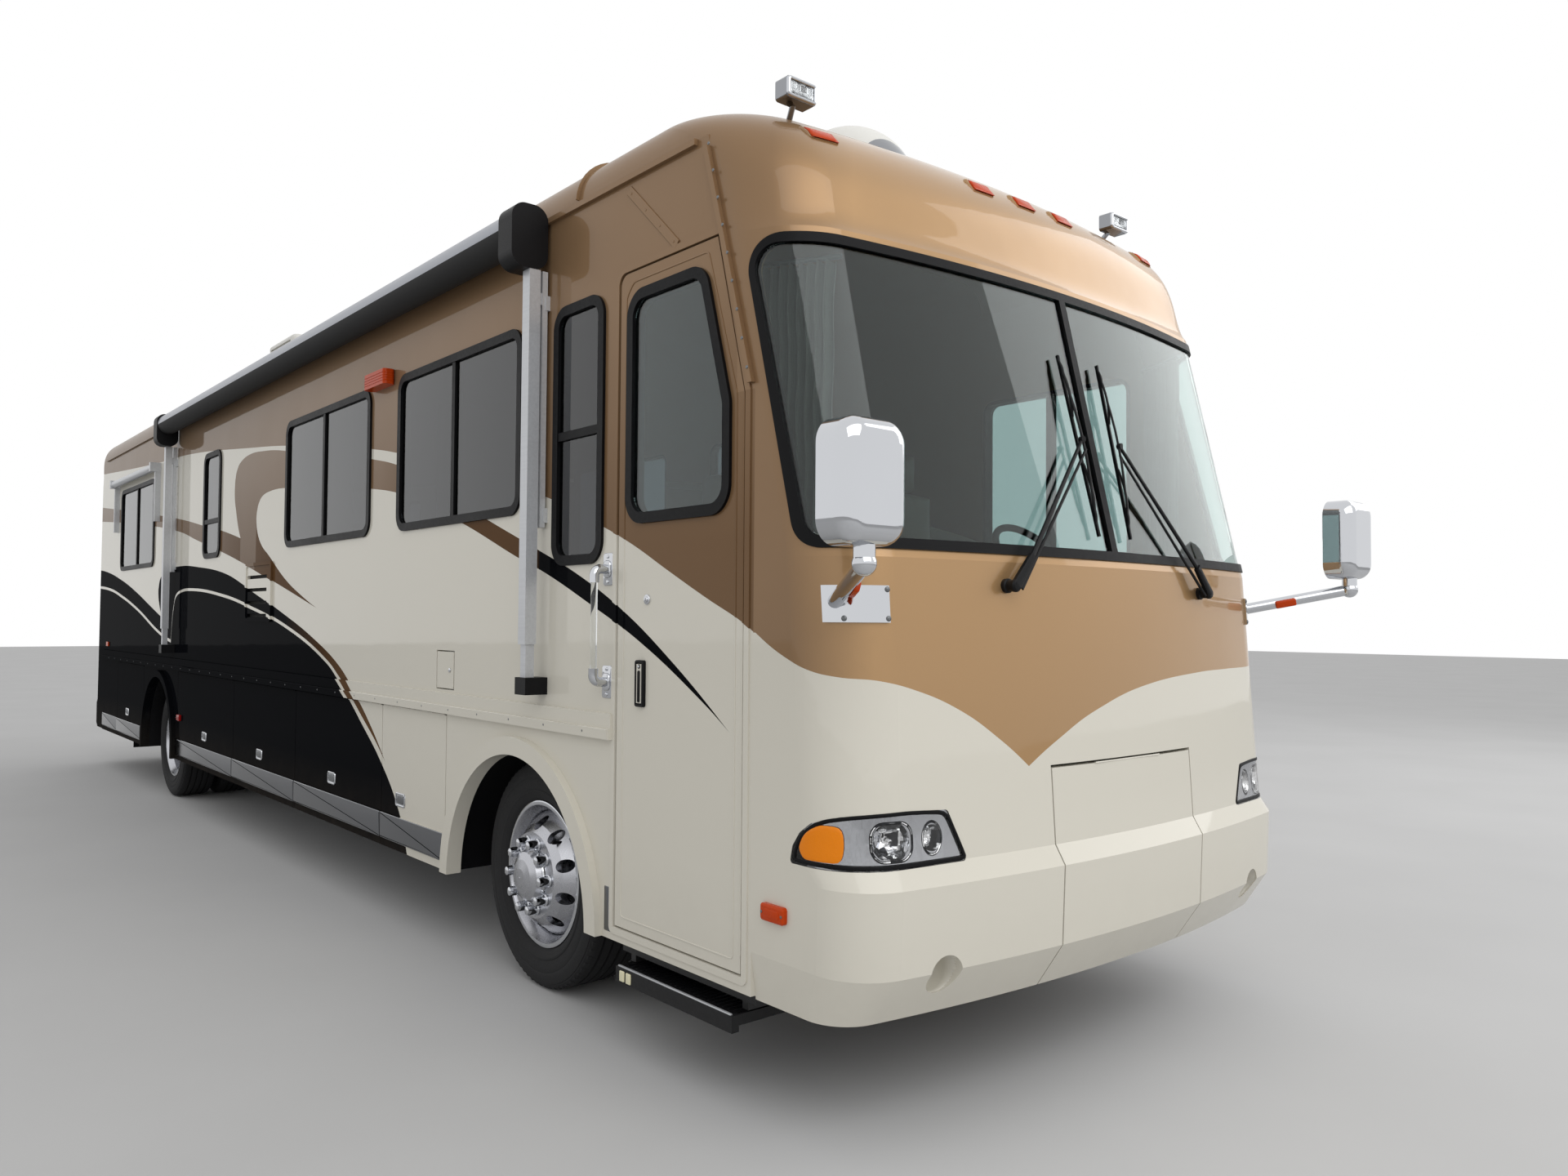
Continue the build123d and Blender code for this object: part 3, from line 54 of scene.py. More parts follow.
# Short-hand for building one node tree
class Graph:
    def __init__(self, tree):
        self.tree = tree

    def node(self, kind, **settings):
        made = self.tree.nodes.new(kind)
        for key, value in settings.items():
            setattr(made, key, value)
        return made

    def plug(self, source, socket):
        if isinstance(source, (int, float, tuple)):
            socket.default_value = source
        else:
            self.tree.links.new(source, socket)

    def math(self, operation, a, b=0.0, c=None, clamp=False):
        made = self.node("ShaderNodeMath", operation=operation, use_clamp=clamp)
        self.plug(a, made.inputs[0])
        self.plug(b, made.inputs[1])
        if c is not None:
            self.plug(c, made.inputs[2])
        return made.outputs[0]

    def feed(self, node, **sources):
        for socket, source in sources.items():
            self.plug(source, node.inputs[socket.replace("_", " ")])

    def mix(self, factor, a, b, blend="MIX"):
        made = self.node("ShaderNodeMix", data_type="RGBA", blend_type=blend)
        self.plug(factor, made.inputs[0])
        self.plug(a, made.inputs[6])
        self.plug(b, made.inputs[7])
        return made.outputs[2]

    def blendValue(self, factor, a, b):
        made = self.node("ShaderNodeMix", data_type="FLOAT")
        self.plug(factor, made.inputs[0])
        self.plug(a, made.inputs[2])
        self.plug(b, made.inputs[3])
        return made.outputs[0]

    def ramp(self, value, low, high, toLow=0.0, toHigh=1.0):
        made = self.node("ShaderNodeMapRange")
        self.plug(value, made.inputs[0])
        for index, number in enumerate((low, high, toLow, toHigh)):
            self.plug(number, made.inputs[index + 1])
        return made.outputs[0]

    def both(self, a, b, *more):
        return self.math("MULTIPLY", a, self.both(b, *more) if more else b)

    def either(self, a, b, *more):
        return self.math("MAXIMUM", a, self.either(b, *more) if more else b)

    def above(self, a, b):
        return self.math("GREATER_THAN", a, b)

    def below(self, a, b):
        return self.math("LESS_THAN", a, b)

    def within(self, value, low, high):
        return self.both(self.above(value, low), self.below(value, high))

    # A height read off a drawn line, given as (distance, height) points
    def curve(self, value, points):
        distances = [p[0] for p in points]
        heights = [p[1] for p in points]
        low, high = min(distances), max(distances)
        bottom, top = min(heights) - 0.01, max(heights) + 0.01
        made = self.node("ShaderNodeFloatCurve")
        line = made.mapping.curves[0]
        scaled = sorted(((d - low) / (high - low), (h - bottom) / (top - bottom)) for d, h in points)
        line.points[0].location = scaled[0]
        line.points[1].location = scaled[-1]
        for point in scaled[1:-1]:
            line.points.new(*point)
        for point in line.points:
            point.handle_type = "AUTO"
        made.mapping.update()
        self.plug(self.ramp(value, low, high), made.inputs[1])
        return self.ramp(made.outputs[0], 0.0, 1.0, bottom, top)

    def noise(self, coordinates, scale, detail=3.0, rough=0.5):
        made = self.node("ShaderNodeTexNoise")
        self.feed(made, Vector=coordinates, Scale=scale, Detail=detail, Roughness=rough)
        return made.outputs["Fac"]

    def parts(self, vector, kind="ShaderNodeSeparateXYZ"):
        made = self.node(kind)
        self.plug(vector, made.inputs[0])
        return made.outputs

    def stretched(self, vector, scale):
        made = self.node("ShaderNodeMapping")
        self.feed(made, Scale=scale, Vector=vector)
        return made.outputs[0]

    def relief(self, height, strength, distance, shader, socket="Normal"):
        made = self.node("ShaderNodeBump")
        self.feed(made, Strength=strength, Distance=distance, Height=height)
        self.plug(made.outputs[0], shader.inputs[socket])


def newMaterial(name, **fixed):
    material = bpy.data.materials.new(name)
    material.use_nodes = True
    tree = material.node_tree
    tree.nodes.clear()
    graph = Graph(tree)
    shader = graph.node("ShaderNodeBsdfPrincipled")
    graph.feed(shader, **fixed)
    output = graph.node("ShaderNodeOutputMaterial")
    tree.links.new(shader.outputs[0], output.inputs[0])
    place = graph.node("ShaderNodeTexCoord")
    return material, graph, shader, place.outputs["Object"]


# Screen colour, 0 to 255, as the renderer's linear values
def linear(red, green, blue):
    values = []
    for level in (red, green, blue):
        level = level / 255
        values.append(level / 12.92 if level <= 0.04045 else ((level + 0.055) / 1.055) ** 2.4)
    return (*values, 1.0)


def scaledColour(colour, factor):
    return tuple(min(1, c * factor) for c in colour[:3]) + (1.0,)


# Finish with uneven roughness, tone and relief from noise in object space
def surface(name, colour, rough=0.5, metal=0.0, spread=0.08, grain=60.0, bump=0.0, bumpGrain=None,
            tone=0.06, coat=0.0, stretch=(1, 1, 1), spec=0.5, blackBelow=None):
    material, graph, shader, where = newMaterial(name, Metallic=metal, Coat_Weight=coat, Coat_Roughness=0.06,
                                                 Specular_IOR_Level=spec)
    where = graph.stretched(where, stretch)
    fine = graph.noise(where, grain)
    broad = graph.noise(where, 2.3, 4.0)
    base = linear(*colour)
    shade = graph.mix(broad, scaledColour(base, 1 - 2.5 * tone), scaledColour(base, 1 + 1.5 * tone))
    if blackBelow is not None:
        shade = graph.mix(graph.below(graph.parts(where)[2], blackBelow), shade, linear(20, 20, 21))
    mixed = graph.math("ADD", graph.math("MULTIPLY", fine, 0.5), graph.math("MULTIPLY", broad, 0.5))
    graph.feed(shader, Base_Color=shade,
               Roughness=graph.ramp(mixed, 0.25, 0.75, max(0.02, rough - spread), min(1, rough + spread)))
    if bump:
        graph.relief(graph.noise(where, bumpGrain or grain, 5.0, 0.6), 0.6, bump, shader)
    return material


paintColours = {
    "gold": linear(173, 138, 97),
    # The two side golds are the front gold, darkened and greyed as painted shade for the sides
    "goldInShade": linear(137, 109, 80),
    "goldInShadeRear": linear(131, 110, 89),
    "cream": linear(213, 209, 197),
    "black": linear(13, 14, 17),
    "brown": linear(92, 66, 42),
    "roofWhite": linear(226, 226, 222),
    "lowTint": linear(120, 108, 92),
}
# Lines of the paint scheme, as (metres behind the nose, height)
upperEdge = [(0.60, 1.545), (0.666, 1.58), (0.85, 1.655), (1.08, 1.755), (1.34, 1.87), (1.6, 1.965),
             (1.98, 2.09), (2.6, 2.235), (3.56, 2.443), (3.93, 2.506), (5.46, 2.70), (6.16, 2.767),
             (8.07, 2.923), (8.9, 2.955), (12.1, 3.13)]
swooshTop = [(0.725, 1.217), (1.07, 1.446), (1.392, 1.625), (1.712, 1.762), (2.03, 1.87), (2.49, 2.021),
             (3.0, 2.19), (3.555, 2.378), (3.878, 2.442), (4.7, 2.565), (5.455, 2.666)]
swooshLow = [(0.725, 1.217), (0.875, 1.307), (1.279, 1.511), (1.585, 1.632), (2.026, 1.791),
             (2.171, 1.833), (2.738, 2.018), (3.2, 2.15), (3.549, 2.233), (3.87, 2.281), (4.7, 2.36),
             (5.439, 2.422)]
hookTop = [(5.455, 2.666), (5.904, 2.716), (6.292, 2.73), (6.495, 2.699), (6.58, 2.655), (6.616, 2.61),
           (6.639, 2.50)]
hookInnerHigh = [(5.439, 2.422), (5.756, 2.43), (5.939, 2.412), (6.02, 2.375), (6.065, 2.32), (6.081, 2.265)]
hookInnerLow = [(4.798, 1.64), (5.069, 1.715), (5.401, 1.824), (5.781, 1.998), (5.953, 2.077),
                (6.05, 2.17), (6.081, 2.265)]
hookOuterLow = [(6.464, 2.148), (6.54, 2.25), (6.595, 2.357), (6.628, 2.43), (6.639, 2.50)]
bandTop = [(6.464, 2.148), (7.0, 2.235), (7.492, 2.298), (8.134, 2.384), (9.5, 2.53), (12.1, 2.78)]
bandLow = [(4.798, 1.64), (5.398, 1.766), (5.845, 1.857), (6.336, 1.956), (6.994, 2.077), (7.739, 2.201),
           (8.237, 2.288), (9.6, 2.43), (12.1, 2.62)]
blackTop = [(3.36, 0.393), (3.42, 0.52), (3.502, 0.669), (3.628, 0.79), (3.734, 0.885), (3.93, 1.035),
            (4.122, 1.158), (4.391, 1.307), (4.87, 1.464), (5.473, 1.614), (6.223, 1.78), (6.867, 1.907),
            (7.72, 1.983), (8.126, 2.003), (8.678, 1.985), (8.952, 1.928), (9.01, 1.88), (9.038, 1.821)]
crescent = [(8.853, 1.567), (8.93, 1.62), (8.992, 1.69), (9.03, 1.76), (9.038, 1.821)]
rearBlackTop = [(8.853, 1.567), (9.422, 1.693), (9.968, 1.813), (10.64, 1.937), (11.512, 2.052),
                (12.1, 2.088)]
pinLine = [(3.33, 0.393), (3.513, 0.667), (3.757, 0.866), (4.028, 1.029), (4.223, 1.143), (4.4, 1.237),
           (4.599, 1.324), (5.382, 1.524), (6.315, 1.672), (6.853, 1.737), (7.835, 1.801), (8.191, 1.794),
           (8.359, 1.762), (8.45, 1.66), (8.5, 1.52), (8.528, 1.372)]
rearPinLine = [(8.528, 1.372), (8.806, 1.41), (9.951, 1.657), (10.621, 1.774), (11.264, 1.858),
               (12.1, 1.899)]
# The front's gold edge, as (distance round the nose from the middle, height)
frontEdge = [(-1.78, 1.545), (-1.633, 1.468), (-1.523, 1.432), (-1.408, 1.416), (-1.233, 1.405),
             (-1.073, 1.373), (-0.89, 1.311), (-0.702, 1.211), (-0.563, 1.117)]
frontEdgeFar = [(-0.563, 1.117), (-0.401, 1.195), (-0.16, 1.288), (0.156, 1.36), (0.586, 1.394),
                (0.869, 1.4), (1.2, 1.404), (1.408, 1.416), (1.633, 1.468), (1.78, 1.545)]
# Stations where one line of the scheme takes over from another, and limits of the cap and the roof
paintValues = {"sweepStart": 0.725, "sweepEnd": 5.455, "hookTip": 6.081, "bandStart": 6.464, "hookEnd": 6.639,
               "hornStart": 4.798, "lowerStart": 3.36, "lowerEnd": 9.038, "tailStart": 8.853, "pinStart": 3.33,
               "pinBreak": 8.528, "pinWidth": 0.011, "rearPinWidth": 0.013, "edgeDip": -0.563, "capSeam": 0.605,
               "capSeamHigh": 0.7, "brow": 2.33, "roofEdge": 3.425, "rollDepth": 1.73, "roofHalf": 1.1}


# Two-tone metallic coach paint with its swooshes, read off drawn lines in object space
def paintMaterial():
    material, graph, shader, where = newMaterial("coachPaint", Coat_Roughness=0.04, Coat_IOR=1.45,
                                                 Specular_IOR_Level=0.0)
    v = paintValues
    mix, both, either, above, below, ramp = graph.mix, graph.both, graph.either, graph.above, graph.below, graph.ramp
    cream, black, brown = (paintColours[key] for key in ("cream", "black", "brown"))
    x, y, z = graph.parts(where)
    s = graph.math("ADD", y, noseOffset)

    def over(line, distance=s):
        return above(z, graph.curve(distance, line))

    def under(line):
        return below(z, graph.curve(s, line))

    def along(low, high):
        return graph.within(s, low, high)

    def size(value):
        return graph.math("ABSOLUTE", value)

    def near(line, width):
        return below(size(graph.math("SUBTRACT", z, graph.curve(s, line))), width)

    # Masks of the sides
    lap = 0.0001
    isBand, isTail = above(s, v["bandStart"]), above(s, v["tailStart"])
    sweep = both(along(v["sweepStart"], v["sweepEnd"]), over(swooshLow), under(swooshTop))
    hook = both(both(along(v["sweepEnd"] - lap, v["hookEnd"]), under(hookTop)),
                either(both(below(s, v["hookTip"]), over(hookInnerHigh)),
                       both(along(v["hookTip"] - lap, v["bandStart"] + lap), over(bandLow)),
                       both(isBand, over(hookOuterLow))))
    horn = both(along(v["hornStart"], v["hookTip"]), over(bandLow), under(hookInnerLow))
    band = both(isBand, over(bandLow), under(bandTop))
    notch = both(isTail, under(crescent))
    lower = either(both(both(along(v["lowerStart"], v["lowerEnd"]), under(blackTop)),
                        graph.math("SUBTRACT", 1.0, notch)), both(isTail, under(rearBlackTop)))
    steep = graph.math("MULTIPLY", ramp(s, 4.6, 3.4, 1.0, 2.6), v["pinWidth"])
    pin = either(both(along(v["pinStart"], v["pinBreak"]), near(pinLine, steep)),
                 both(above(s, v["pinBreak"]), near(rearPinLine, v["rearPinWidth"])))
    # Their colours
    # Side gold: shaded copies of the front gold, as painted shade, changing from front to back
    tone = mix(ramp(s, 1.5, 6.5), paintColours["goldInShade"], paintColours["goldInShadeRear"])
    # Browner towards the bottom of the sides: painted reflection of the dark ground
    tone = mix(graph.math("MULTIPLY", ramp(z, 2.75, 1.85), 0.55), tone, brown)
    sweepTone = mix(ramp(s, 2.7, 3.8), mix(ramp(s, 2.02, 2.06), black, brown), tone)
    lowerTone = mix(both(over(pinLine), ramp(s, 5.4, 4.3)), black, brown)
    side = mix(over(upperEdge), cream, tone)
    for mask, colour in ((sweep, sweepTone), (hook, tone), (either(horn, band), mix(ramp(s, 5.6, 7.6), brown, tone)),
                         (lower, lowerTone), (both(pin, lower), cream)):
        side = mix(mask, side, colour)
    # Round the nose
    rake = graph.math("MULTIPLY", graph.math("SUBTRACT", z, 0.855), 0.067)
    back = graph.math("SUBTRACT", graph.math("SUBTRACT", s, rake), 0.038)
    around = graph.math("MULTIPLY", graph.math("ADD", size(x), back), graph.math("SIGN", x))
    edges = either(both(below(around, v["edgeDip"]), over(frontEdge, around)),
                   both(above(around, v["edgeDip"] - lap), over(frontEdgeFar, around)))
    # Round the nose corners the front gold fades into the side's painted-shade copy
    frontTone = mix(ramp(size(around), 1.25, 1.62), paintColours["gold"], paintColours["goldInShade"])
    onCap = below(s, graph.blendValue(above(z, v["brow"]), v["capSeam"], v["capSeamHigh"]))
    whole = mix(onCap, side, mix(edges, cream, frontTone))
    topFlat = both(both(above(z, v["roofEdge"]), above(s, v["rollDepth"])), below(size(x), v["roofHalf"]))
    whole = mix(topFlat, whole, paintColours["roofWhite"])
    # Patchy, darker and browner towards the bottom
    lowDarkening = both(ramp(z, 0.75, 0.35, 0.0, 0.16), graph.noise(where, 7.0, 6.0, 0.65))
    whole = mix(lowDarkening, whole, paintColours["lowTint"])
    red, green, blue = graph.parts(whole, "ShaderNodeSeparateColor")
    shine = graph.math("ADD", graph.math("ADD", red, green), blue)
    graph.feed(shader, Base_Color=whole, Metallic=ramp(graph.math("SUBTRACT", red, blue), 0.10, 0.22, 0.0, 0.55),
               Roughness=ramp(graph.noise(where, 3.0, 5.0), 0.3, 0.7, 0.28, 0.4),
               Coat_Weight=ramp(shine, 0.12, 0.8, 0.045, 0.8))
    flake = graph.node("ShaderNodeTexVoronoi")
    graph.feed(flake, Scale=900.0, Vector=where)
    graph.relief(graph.math("ADD", flake.outputs["Distance"], graph.noise(where, 40.0)), 0.12, 0.0004, shader)
    graph.relief(graph.noise(where, 1.6, 2.0), 0.25, 0.004, shader, "Coat Normal")
    return material


def smears(graph, where, low, high):
    return graph.ramp(graph.noise(where, 5.0, 6.0, 0.6), 0.45, 0.8, low, high)


def glassMaterial(name, colour, rough=0.0):
    material, graph, shader, where = newMaterial(name, Transmission_Weight=1.0, IOR=1.45)
    tint = graph.mix(graph.noise(where, 1.5, 3.0), scaledColour(colour, 0.97), scaledColour(colour, 1))
    graph.feed(shader, Base_Color=tint, Roughness=smears(graph, where, rough, rough + 0.004))
    graph.relief(graph.noise(where, 1.2, 2.0), 0.08, 0.002, shader)
    return material


def flutedMaterial(name, colour, ribs=620.0):
    material, graph, shader, where = newMaterial(name, Transmission_Weight=1.0, IOR=1.45)
    tint = graph.mix(graph.noise(where, 9.0), scaledColour(colour, 0.93), scaledColour(colour, 1))
    graph.feed(shader, Base_Color=tint, Roughness=graph.ramp(graph.noise(where, 14.0), 0.3, 0.7, 0.02, 0.08))
    wave = graph.math("SINE", graph.math("MULTIPLY", graph.parts(where)[0], ribs))
    graph.relief(graph.math("ABSOLUTE", wave), 0.35, 0.003, shader)
    return material


# Stepped lamp reflector, its cells painted bright and dark as painted reflections
def facetMaterial():
    material, graph, shader, where = newMaterial("lampReflector", Metallic=1.0)
    cells = graph.node("ShaderNodeTexVoronoi", distance="CHEBYCHEV")
    graph.feed(cells, Scale=46.0, Randomness=0.45, Vector=where)
    value = graph.parts(cells.outputs["Color"], "ShaderNodeSeparateColor")
    graph.feed(shader, Roughness=graph.ramp(value[1], 0, 1, 0.03, 0.14),
               # Painted reflections: metal base colour from near black to white by cell
               Base_Color=graph.mix(graph.ramp(value[0], 0.3, 0.62), linear(40, 42, 46), linear(244, 245, 246)))
    graph.relief(cells.outputs["Distance"], 0.5, 0.004, shader)
    return material


# Roof units in white plastic, with the two chromed lamps at the front
def whiteMaterial():
    material, graph, shader, where = newMaterial("whitePlastic")
    x, y, z = graph.parts(where)
    lamps = graph.both(graph.below(y, yAt(0.90)), graph.above(z, 3.3))
    grain = graph.noise(where, 90.0)
    plastic = graph.mix(graph.noise(where, 2.3, 4.0), linear(208, 207, 201), linear(228, 227, 222))
    graph.feed(shader, Base_Color=graph.mix(lamps, plastic, linear(150, 152, 156)), Metallic=lamps,
               Roughness=graph.blendValue(lamps, graph.ramp(grain, 0.3, 0.7, 0.35, 0.5), 0.08))
    graph.relief(grain, 0.3, 0.0003, shader)
    return material


# Dark glass, but lighter in the driver's and the door's windows
def windowMaterial():
    material, graph, shader, where = newMaterial("windowGlass", Transmission_Weight=1.0)
    x, y, z = graph.parts(where)
    ahead = graph.below(y, yAt(1.40))
    driver = graph.both(graph.above(x, 0.0), graph.below(y, yAt(2.7)))
    tint = graph.mix(graph.either(ahead, driver), (0.075, 0.09, 0.105, 1), (0.46, 0.60, 0.60, 1))
    film = graph.mix(graph.noise(where, 1.5), (0.92, 0.92, 0.92, 1), (1, 1, 1, 1))
    graph.feed(shader, Base_Color=graph.mix(1.0, tint, film, "MULTIPLY"), Roughness=smears(graph, where, 0.005, 0.04))
    graph.relief(graph.noise(where, 1.1, 2.0), 0.1, 0.003, shader)
    return material


# Brushed aluminium whose tube is painted near black on its under half, as painted shade under the tube
def awningMaterial():
    material, graph, shader, where = newMaterial("awningMetal")
    x, y, z = graph.parts(where)
    grain = graph.noise(graph.stretched(where, (1, 0.03, 1)), 90.0, 5.0)
    metal = graph.mix(grain, linear(138, 141, 148), linear(168, 171, 178))
    legs = graph.mix(grain, linear(182, 184, 188), linear(206, 208, 211))
    isLeg = graph.below(z, 3.05)
    # Painted shade: the tube's under half, over the wall, in matte near black
    under = graph.both(graph.within(z, 3.09, 3.19), graph.below(x, -1.28))
    graph.feed(shader, Base_Color=graph.mix(under, graph.mix(isLeg, metal, legs), linear(24, 24, 25)),
               Metallic=graph.blendValue(under, graph.blendValue(isLeg, 0.75, 0.35), 0.0),
               Roughness=graph.blendValue(under, graph.ramp(grain, 0.3, 0.7, 0.28, 0.42), 0.8))
    graph.relief(grain, 0.4, 0.0003, shader)
    return material


def woodRings(graph, where):
    return graph.noise(graph.stretched(where, (1.0, 12.0, 1.2)), 4.0, 8.0, 0.7)


# Wood cupboards, dash vinyl made pale as painted light against the shade at the front, and a dark steering wheel
def cabinMaterial():
    material, graph, shader, where = newMaterial("cabinTrim")
    x, y, z = graph.parts(where)
    rings = graph.ramp(woodRings(graph, where), 0.35, 0.65)
    wood = graph.mix(rings, linear(66, 44, 27), linear(122, 84, 53))
    grain = graph.noise(where, 320.0, 4.0)
    # Pale dash: painted light making up for the shade on the dash
    litVinyl = graph.mix(grain, linear(186, 190, 174), linear(204, 206, 190))
    ahead = graph.below(y, yAt(1.15))
    steering = graph.both(ahead, graph.above(y, yAt(0.6405)))
    graph.feed(shader, Base_Color=graph.mix(ahead, wood, graph.mix(steering, litVinyl, linear(30, 30, 31))),
               Roughness=graph.blendValue(ahead, graph.ramp(rings, 0, 1, 0.35, 0.55), 0.7))
    graph.relief(graph.blendValue(ahead, rings, grain), 0.4, 0.0005, shader)
    return material


# Woven cloth: crossed sets of threads with slubs; colour darker in the hollows between threads as painted shade, and
# varied at random by the slubs
def weaveMaterial(name, colour, threads=420.0, depth=0.0006):
    material, graph, shader, where = newMaterial(name, Sheen_Weight=0.3)
    waves = [graph.math("SINE", graph.math("MULTIPLY", axis, threads)) for axis in graph.parts(where)]
    height = graph.math("MAXIMUM", graph.math("MAXIMUM", waves[0], waves[1]), waves[2])
    slub = graph.noise(where, 30.0, 4.0)
    base = linear(*colour)
    shade = graph.mix(graph.ramp(graph.math("ADD", height, slub), 0.2, 1.6), scaledColour(base, 0.72), base)
    graph.feed(shader, Base_Color=shade, Roughness=graph.ramp(slub, 0.3, 0.7, 0.75, 0.95))
    graph.relief(height, 0.5, depth, shader)
    return material


def woodMaterial(name, colour):
    material, graph, shader, where = newMaterial(name)
    rings = woodRings(graph, where)
    base = linear(*colour)
    graph.feed(shader, Base_Color=graph.mix(graph.ramp(rings, 0.35, 0.65), scaledColour(base, 0.5), base),
               Roughness=graph.ramp(rings, 0.3, 0.7, 0.35, 0.55))
    graph.relief(rings, 0.4, 0.0005, shader)
    return material


materials = {
    "paint": paintMaterial(),
    "chassis": surface("chassisBlack", (28, 28, 29), 0.55, bump=0.0006, tone=0.1, spec=0.25),
    "cast": surface("castMetal", (52, 50, 48), 0.65, 0.6, bump=0.0012, grain=90.0, tone=0.12),
    "steel": surface("galvanised", (120, 122, 124), 0.45, 0.9, bump=0.0003, tone=0.1),
    "alloy": surface("polishedAlloy", (186, 187, 192), 0.27, 1.0, 0.06, 35.0, 0.0002, 160.0),
    "chrome": surface("chrome", (203, 205, 209), 0.05, 1.0, 0.03, 20.0, 0.00006, 30.0, tone=0.02),
    "facet": facetMaterial(),
    "creamCup": surface("bumperRecess", (205, 201, 189), 0.4, bump=0.0003, coat=0.5, tone=0.03, spec=0.2),
    "paleAmber": surface("paleReflector", (232, 226, 190), 0.25, coat=0.6, bump=0.0006, bumpGrain=240.0),
    "mesh": surface("darkMesh", (26, 25, 24), 0.7, bump=0.002, bumpGrain=500.0, spec=0.15),
    "mirrorSteel": surface("mirrorSteel", (122, 124, 128), 0.1, 1.0, 0.05, 14.0, 0.0002, 9.0, stretch=(1, 0.2, 1)),
    "tyre": surface("tyreRubber", (38, 38, 39), 0.78, 0.0, 0.1, 120.0, 0.0004, 220.0, tone=0.12, spec=0.25),
    "rubber": surface("sealRubber", (13, 13, 15), 0.45, 0.0, 0.1, 80.0, 0.0003, tone=0.1, spec=0.12),
    "plastic": surface("blackPlastic", (18, 18, 20), 0.45, 0.0, 0.1, 200.0, 0.0003, 500.0, tone=0.08, spec=0.15),
    "white": whiteMaterial(),
    "silver": awningMaterial(),
    "floorBoard": surface("floorBoard", (126, 100, 74), 0.5, bump=0.0004, stretch=(1, 9, 1), tone=0.14,
                          blackBelow=1.07),
    "cabinetWood": woodMaterial("cabinetWood", (128, 88, 56)),
    "cloth": weaveMaterial("seatCloth", (158, 148, 132)),
    "drape": weaveMaterial("drapeCloth", (96, 93, 88), 600.0, 0.0004),
    "cabin": cabinMaterial(),
    "cover": weaveMaterial("bedCover", (168, 158, 142), 300.0, 0.0008),
    "windowGlass": windowMaterial(),
    "screenGlass": glassMaterial("screenGlass", (0.50, 0.61, 0.59)),
    "lampGlass": glassMaterial("lampGlass", (0.95, 0.95, 0.95)),
    "red": glassMaterial("redLens", (0.62, 0.02, 0.02), 0.1),
    "redSolid": surface("redBody", (150, 16, 14), 0.25, coat=0.2, bump=0.0004, bumpGrain=150.0, spec=0.15),
    "leather": surface("seatLeather", (96, 82, 66), 0.48, 0.0, 0.08, 60.0, 0.0008, 260.0, tone=0.1),
    "fluted": flutedMaterial("flutedLens", (0.93, 0.95, 0.96)),
    "amberSolid": surface("amberBody", (190, 62, 6), 0.25, coat=0.15, bump=0.0004, bumpGrain=150.0, spec=0.1),
    "turn": surface("turnLens", (238, 134, 8), 0.2, coat=0.2, bump=0.0012, bumpGrain=110.0, spec=0.15),
    "clearBar": glassMaterial("clearBar", (0.93, 0.95, 0.95), 0.005),
    "smokeLid": surface("smokedLid", (92, 92, 90), 0.25, coat=0.5, tone=0.04, spec=0.4),
    "dark": surface("keywayShadeBlack", (9, 9, 10), 0.8, bump=0.0003),
}
slotMaterials = {
    "body_paint": "paint", "chassis_black": "chassis", "cast_metal": "cast", "steel": "steel", "alloy": "alloy",
    "chrome": "chrome", "tyre": "tyre", "rubber": "rubber", "black_plastic": "plastic", "white_plastic": "white",
    "window_glass": "windowGlass", "screen_glass": "screenGlass", "lamp_glass": "lampGlass",
    "amber_lens": "amberSolid", "red_lens": "red", "floor_board": "floorBoard", "interior": "cloth",
    "trim_board": "cabin", "awning_metal": "silver",
}
for part in frame["record"]["subparts"]:
    node = frame["nodes"][part["node"]]
    node.data.materials.clear()
    node.data.materials.append(materials[slotMaterials[part["material_slot"]]])
print("stage: materials")


# Floor, light and camera
def stageObject(name, data):
    made = bpy.data.objects.new(name, data)
    bpy.context.scene.collection.objects.link(made)
    return made


floorHalf, floorHeight = 60, -0.002
floorMaterial, graph, shader, where = newMaterial("paleFloor", Roughness=0.9)
graph.plug(graph.mix(graph.noise(where, 0.8), (0.50, 0.50, 0.50, 1), (0.56, 0.56, 0.56, 1)),
           shader.inputs["Base Color"])
floorMesh = bpy.data.meshes.new("studioFloor")
floorMesh.from_pydata([(x * floorHalf, y * floorHalf, floorHeight) for x, y in ((-1, -1), (1, -1), (1, 1), (-1, 1))],
                      [], [(0, 1, 2, 3)])
floorMesh.materials.append(floorMaterial)
stageObject("studioFloor", floorMesh)

world = bpy.data.worlds.new("studioWorld")
bpy.context.scene.world = world
world.use_nodes = True
worldGraph = Graph(world.node_tree)
world.node_tree.nodes.clear()
paths = worldGraph.node("ShaderNodeLightPath")
seen = worldGraph.either(paths.outputs["Is Camera Ray"],
                         worldGraph.either(paths.outputs["Is Glossy Ray"], paths.outputs["Is Transmission Ray"]))
background = worldGraph.node("ShaderNodeBackground")
worldGraph.plug(worldGraph.blendValue(seen, 0.75, 1.0), background.inputs["Strength"])
background.inputs["Color"].default_value = (1, 1, 1, 1)
worldOut = worldGraph.node("ShaderNodeOutputWorld")
world.node_tree.links.new(background.outputs[0], worldOut.inputs[0])


def softLight(name, place, target, size, power):
    lamp = bpy.data.lights.new(name, "AREA")
    lamp.shape = "RECTANGLE"
    lamp.size, lamp.size_y = size
    lamp.energy = power
    made = stageObject(name, lamp)
    made.location = place
    made.rotation_euler = (Vector(target) - Vector(place)).to_track_quat("-Z", "Y").to_euler()


softLight("keyLight", (-3, -15, 10), (0, -2, 1.5), (16, 10), 760)
softLight("fillLight", (11, -8, 8), (0, 0, 1.5), (10, 8), 320)

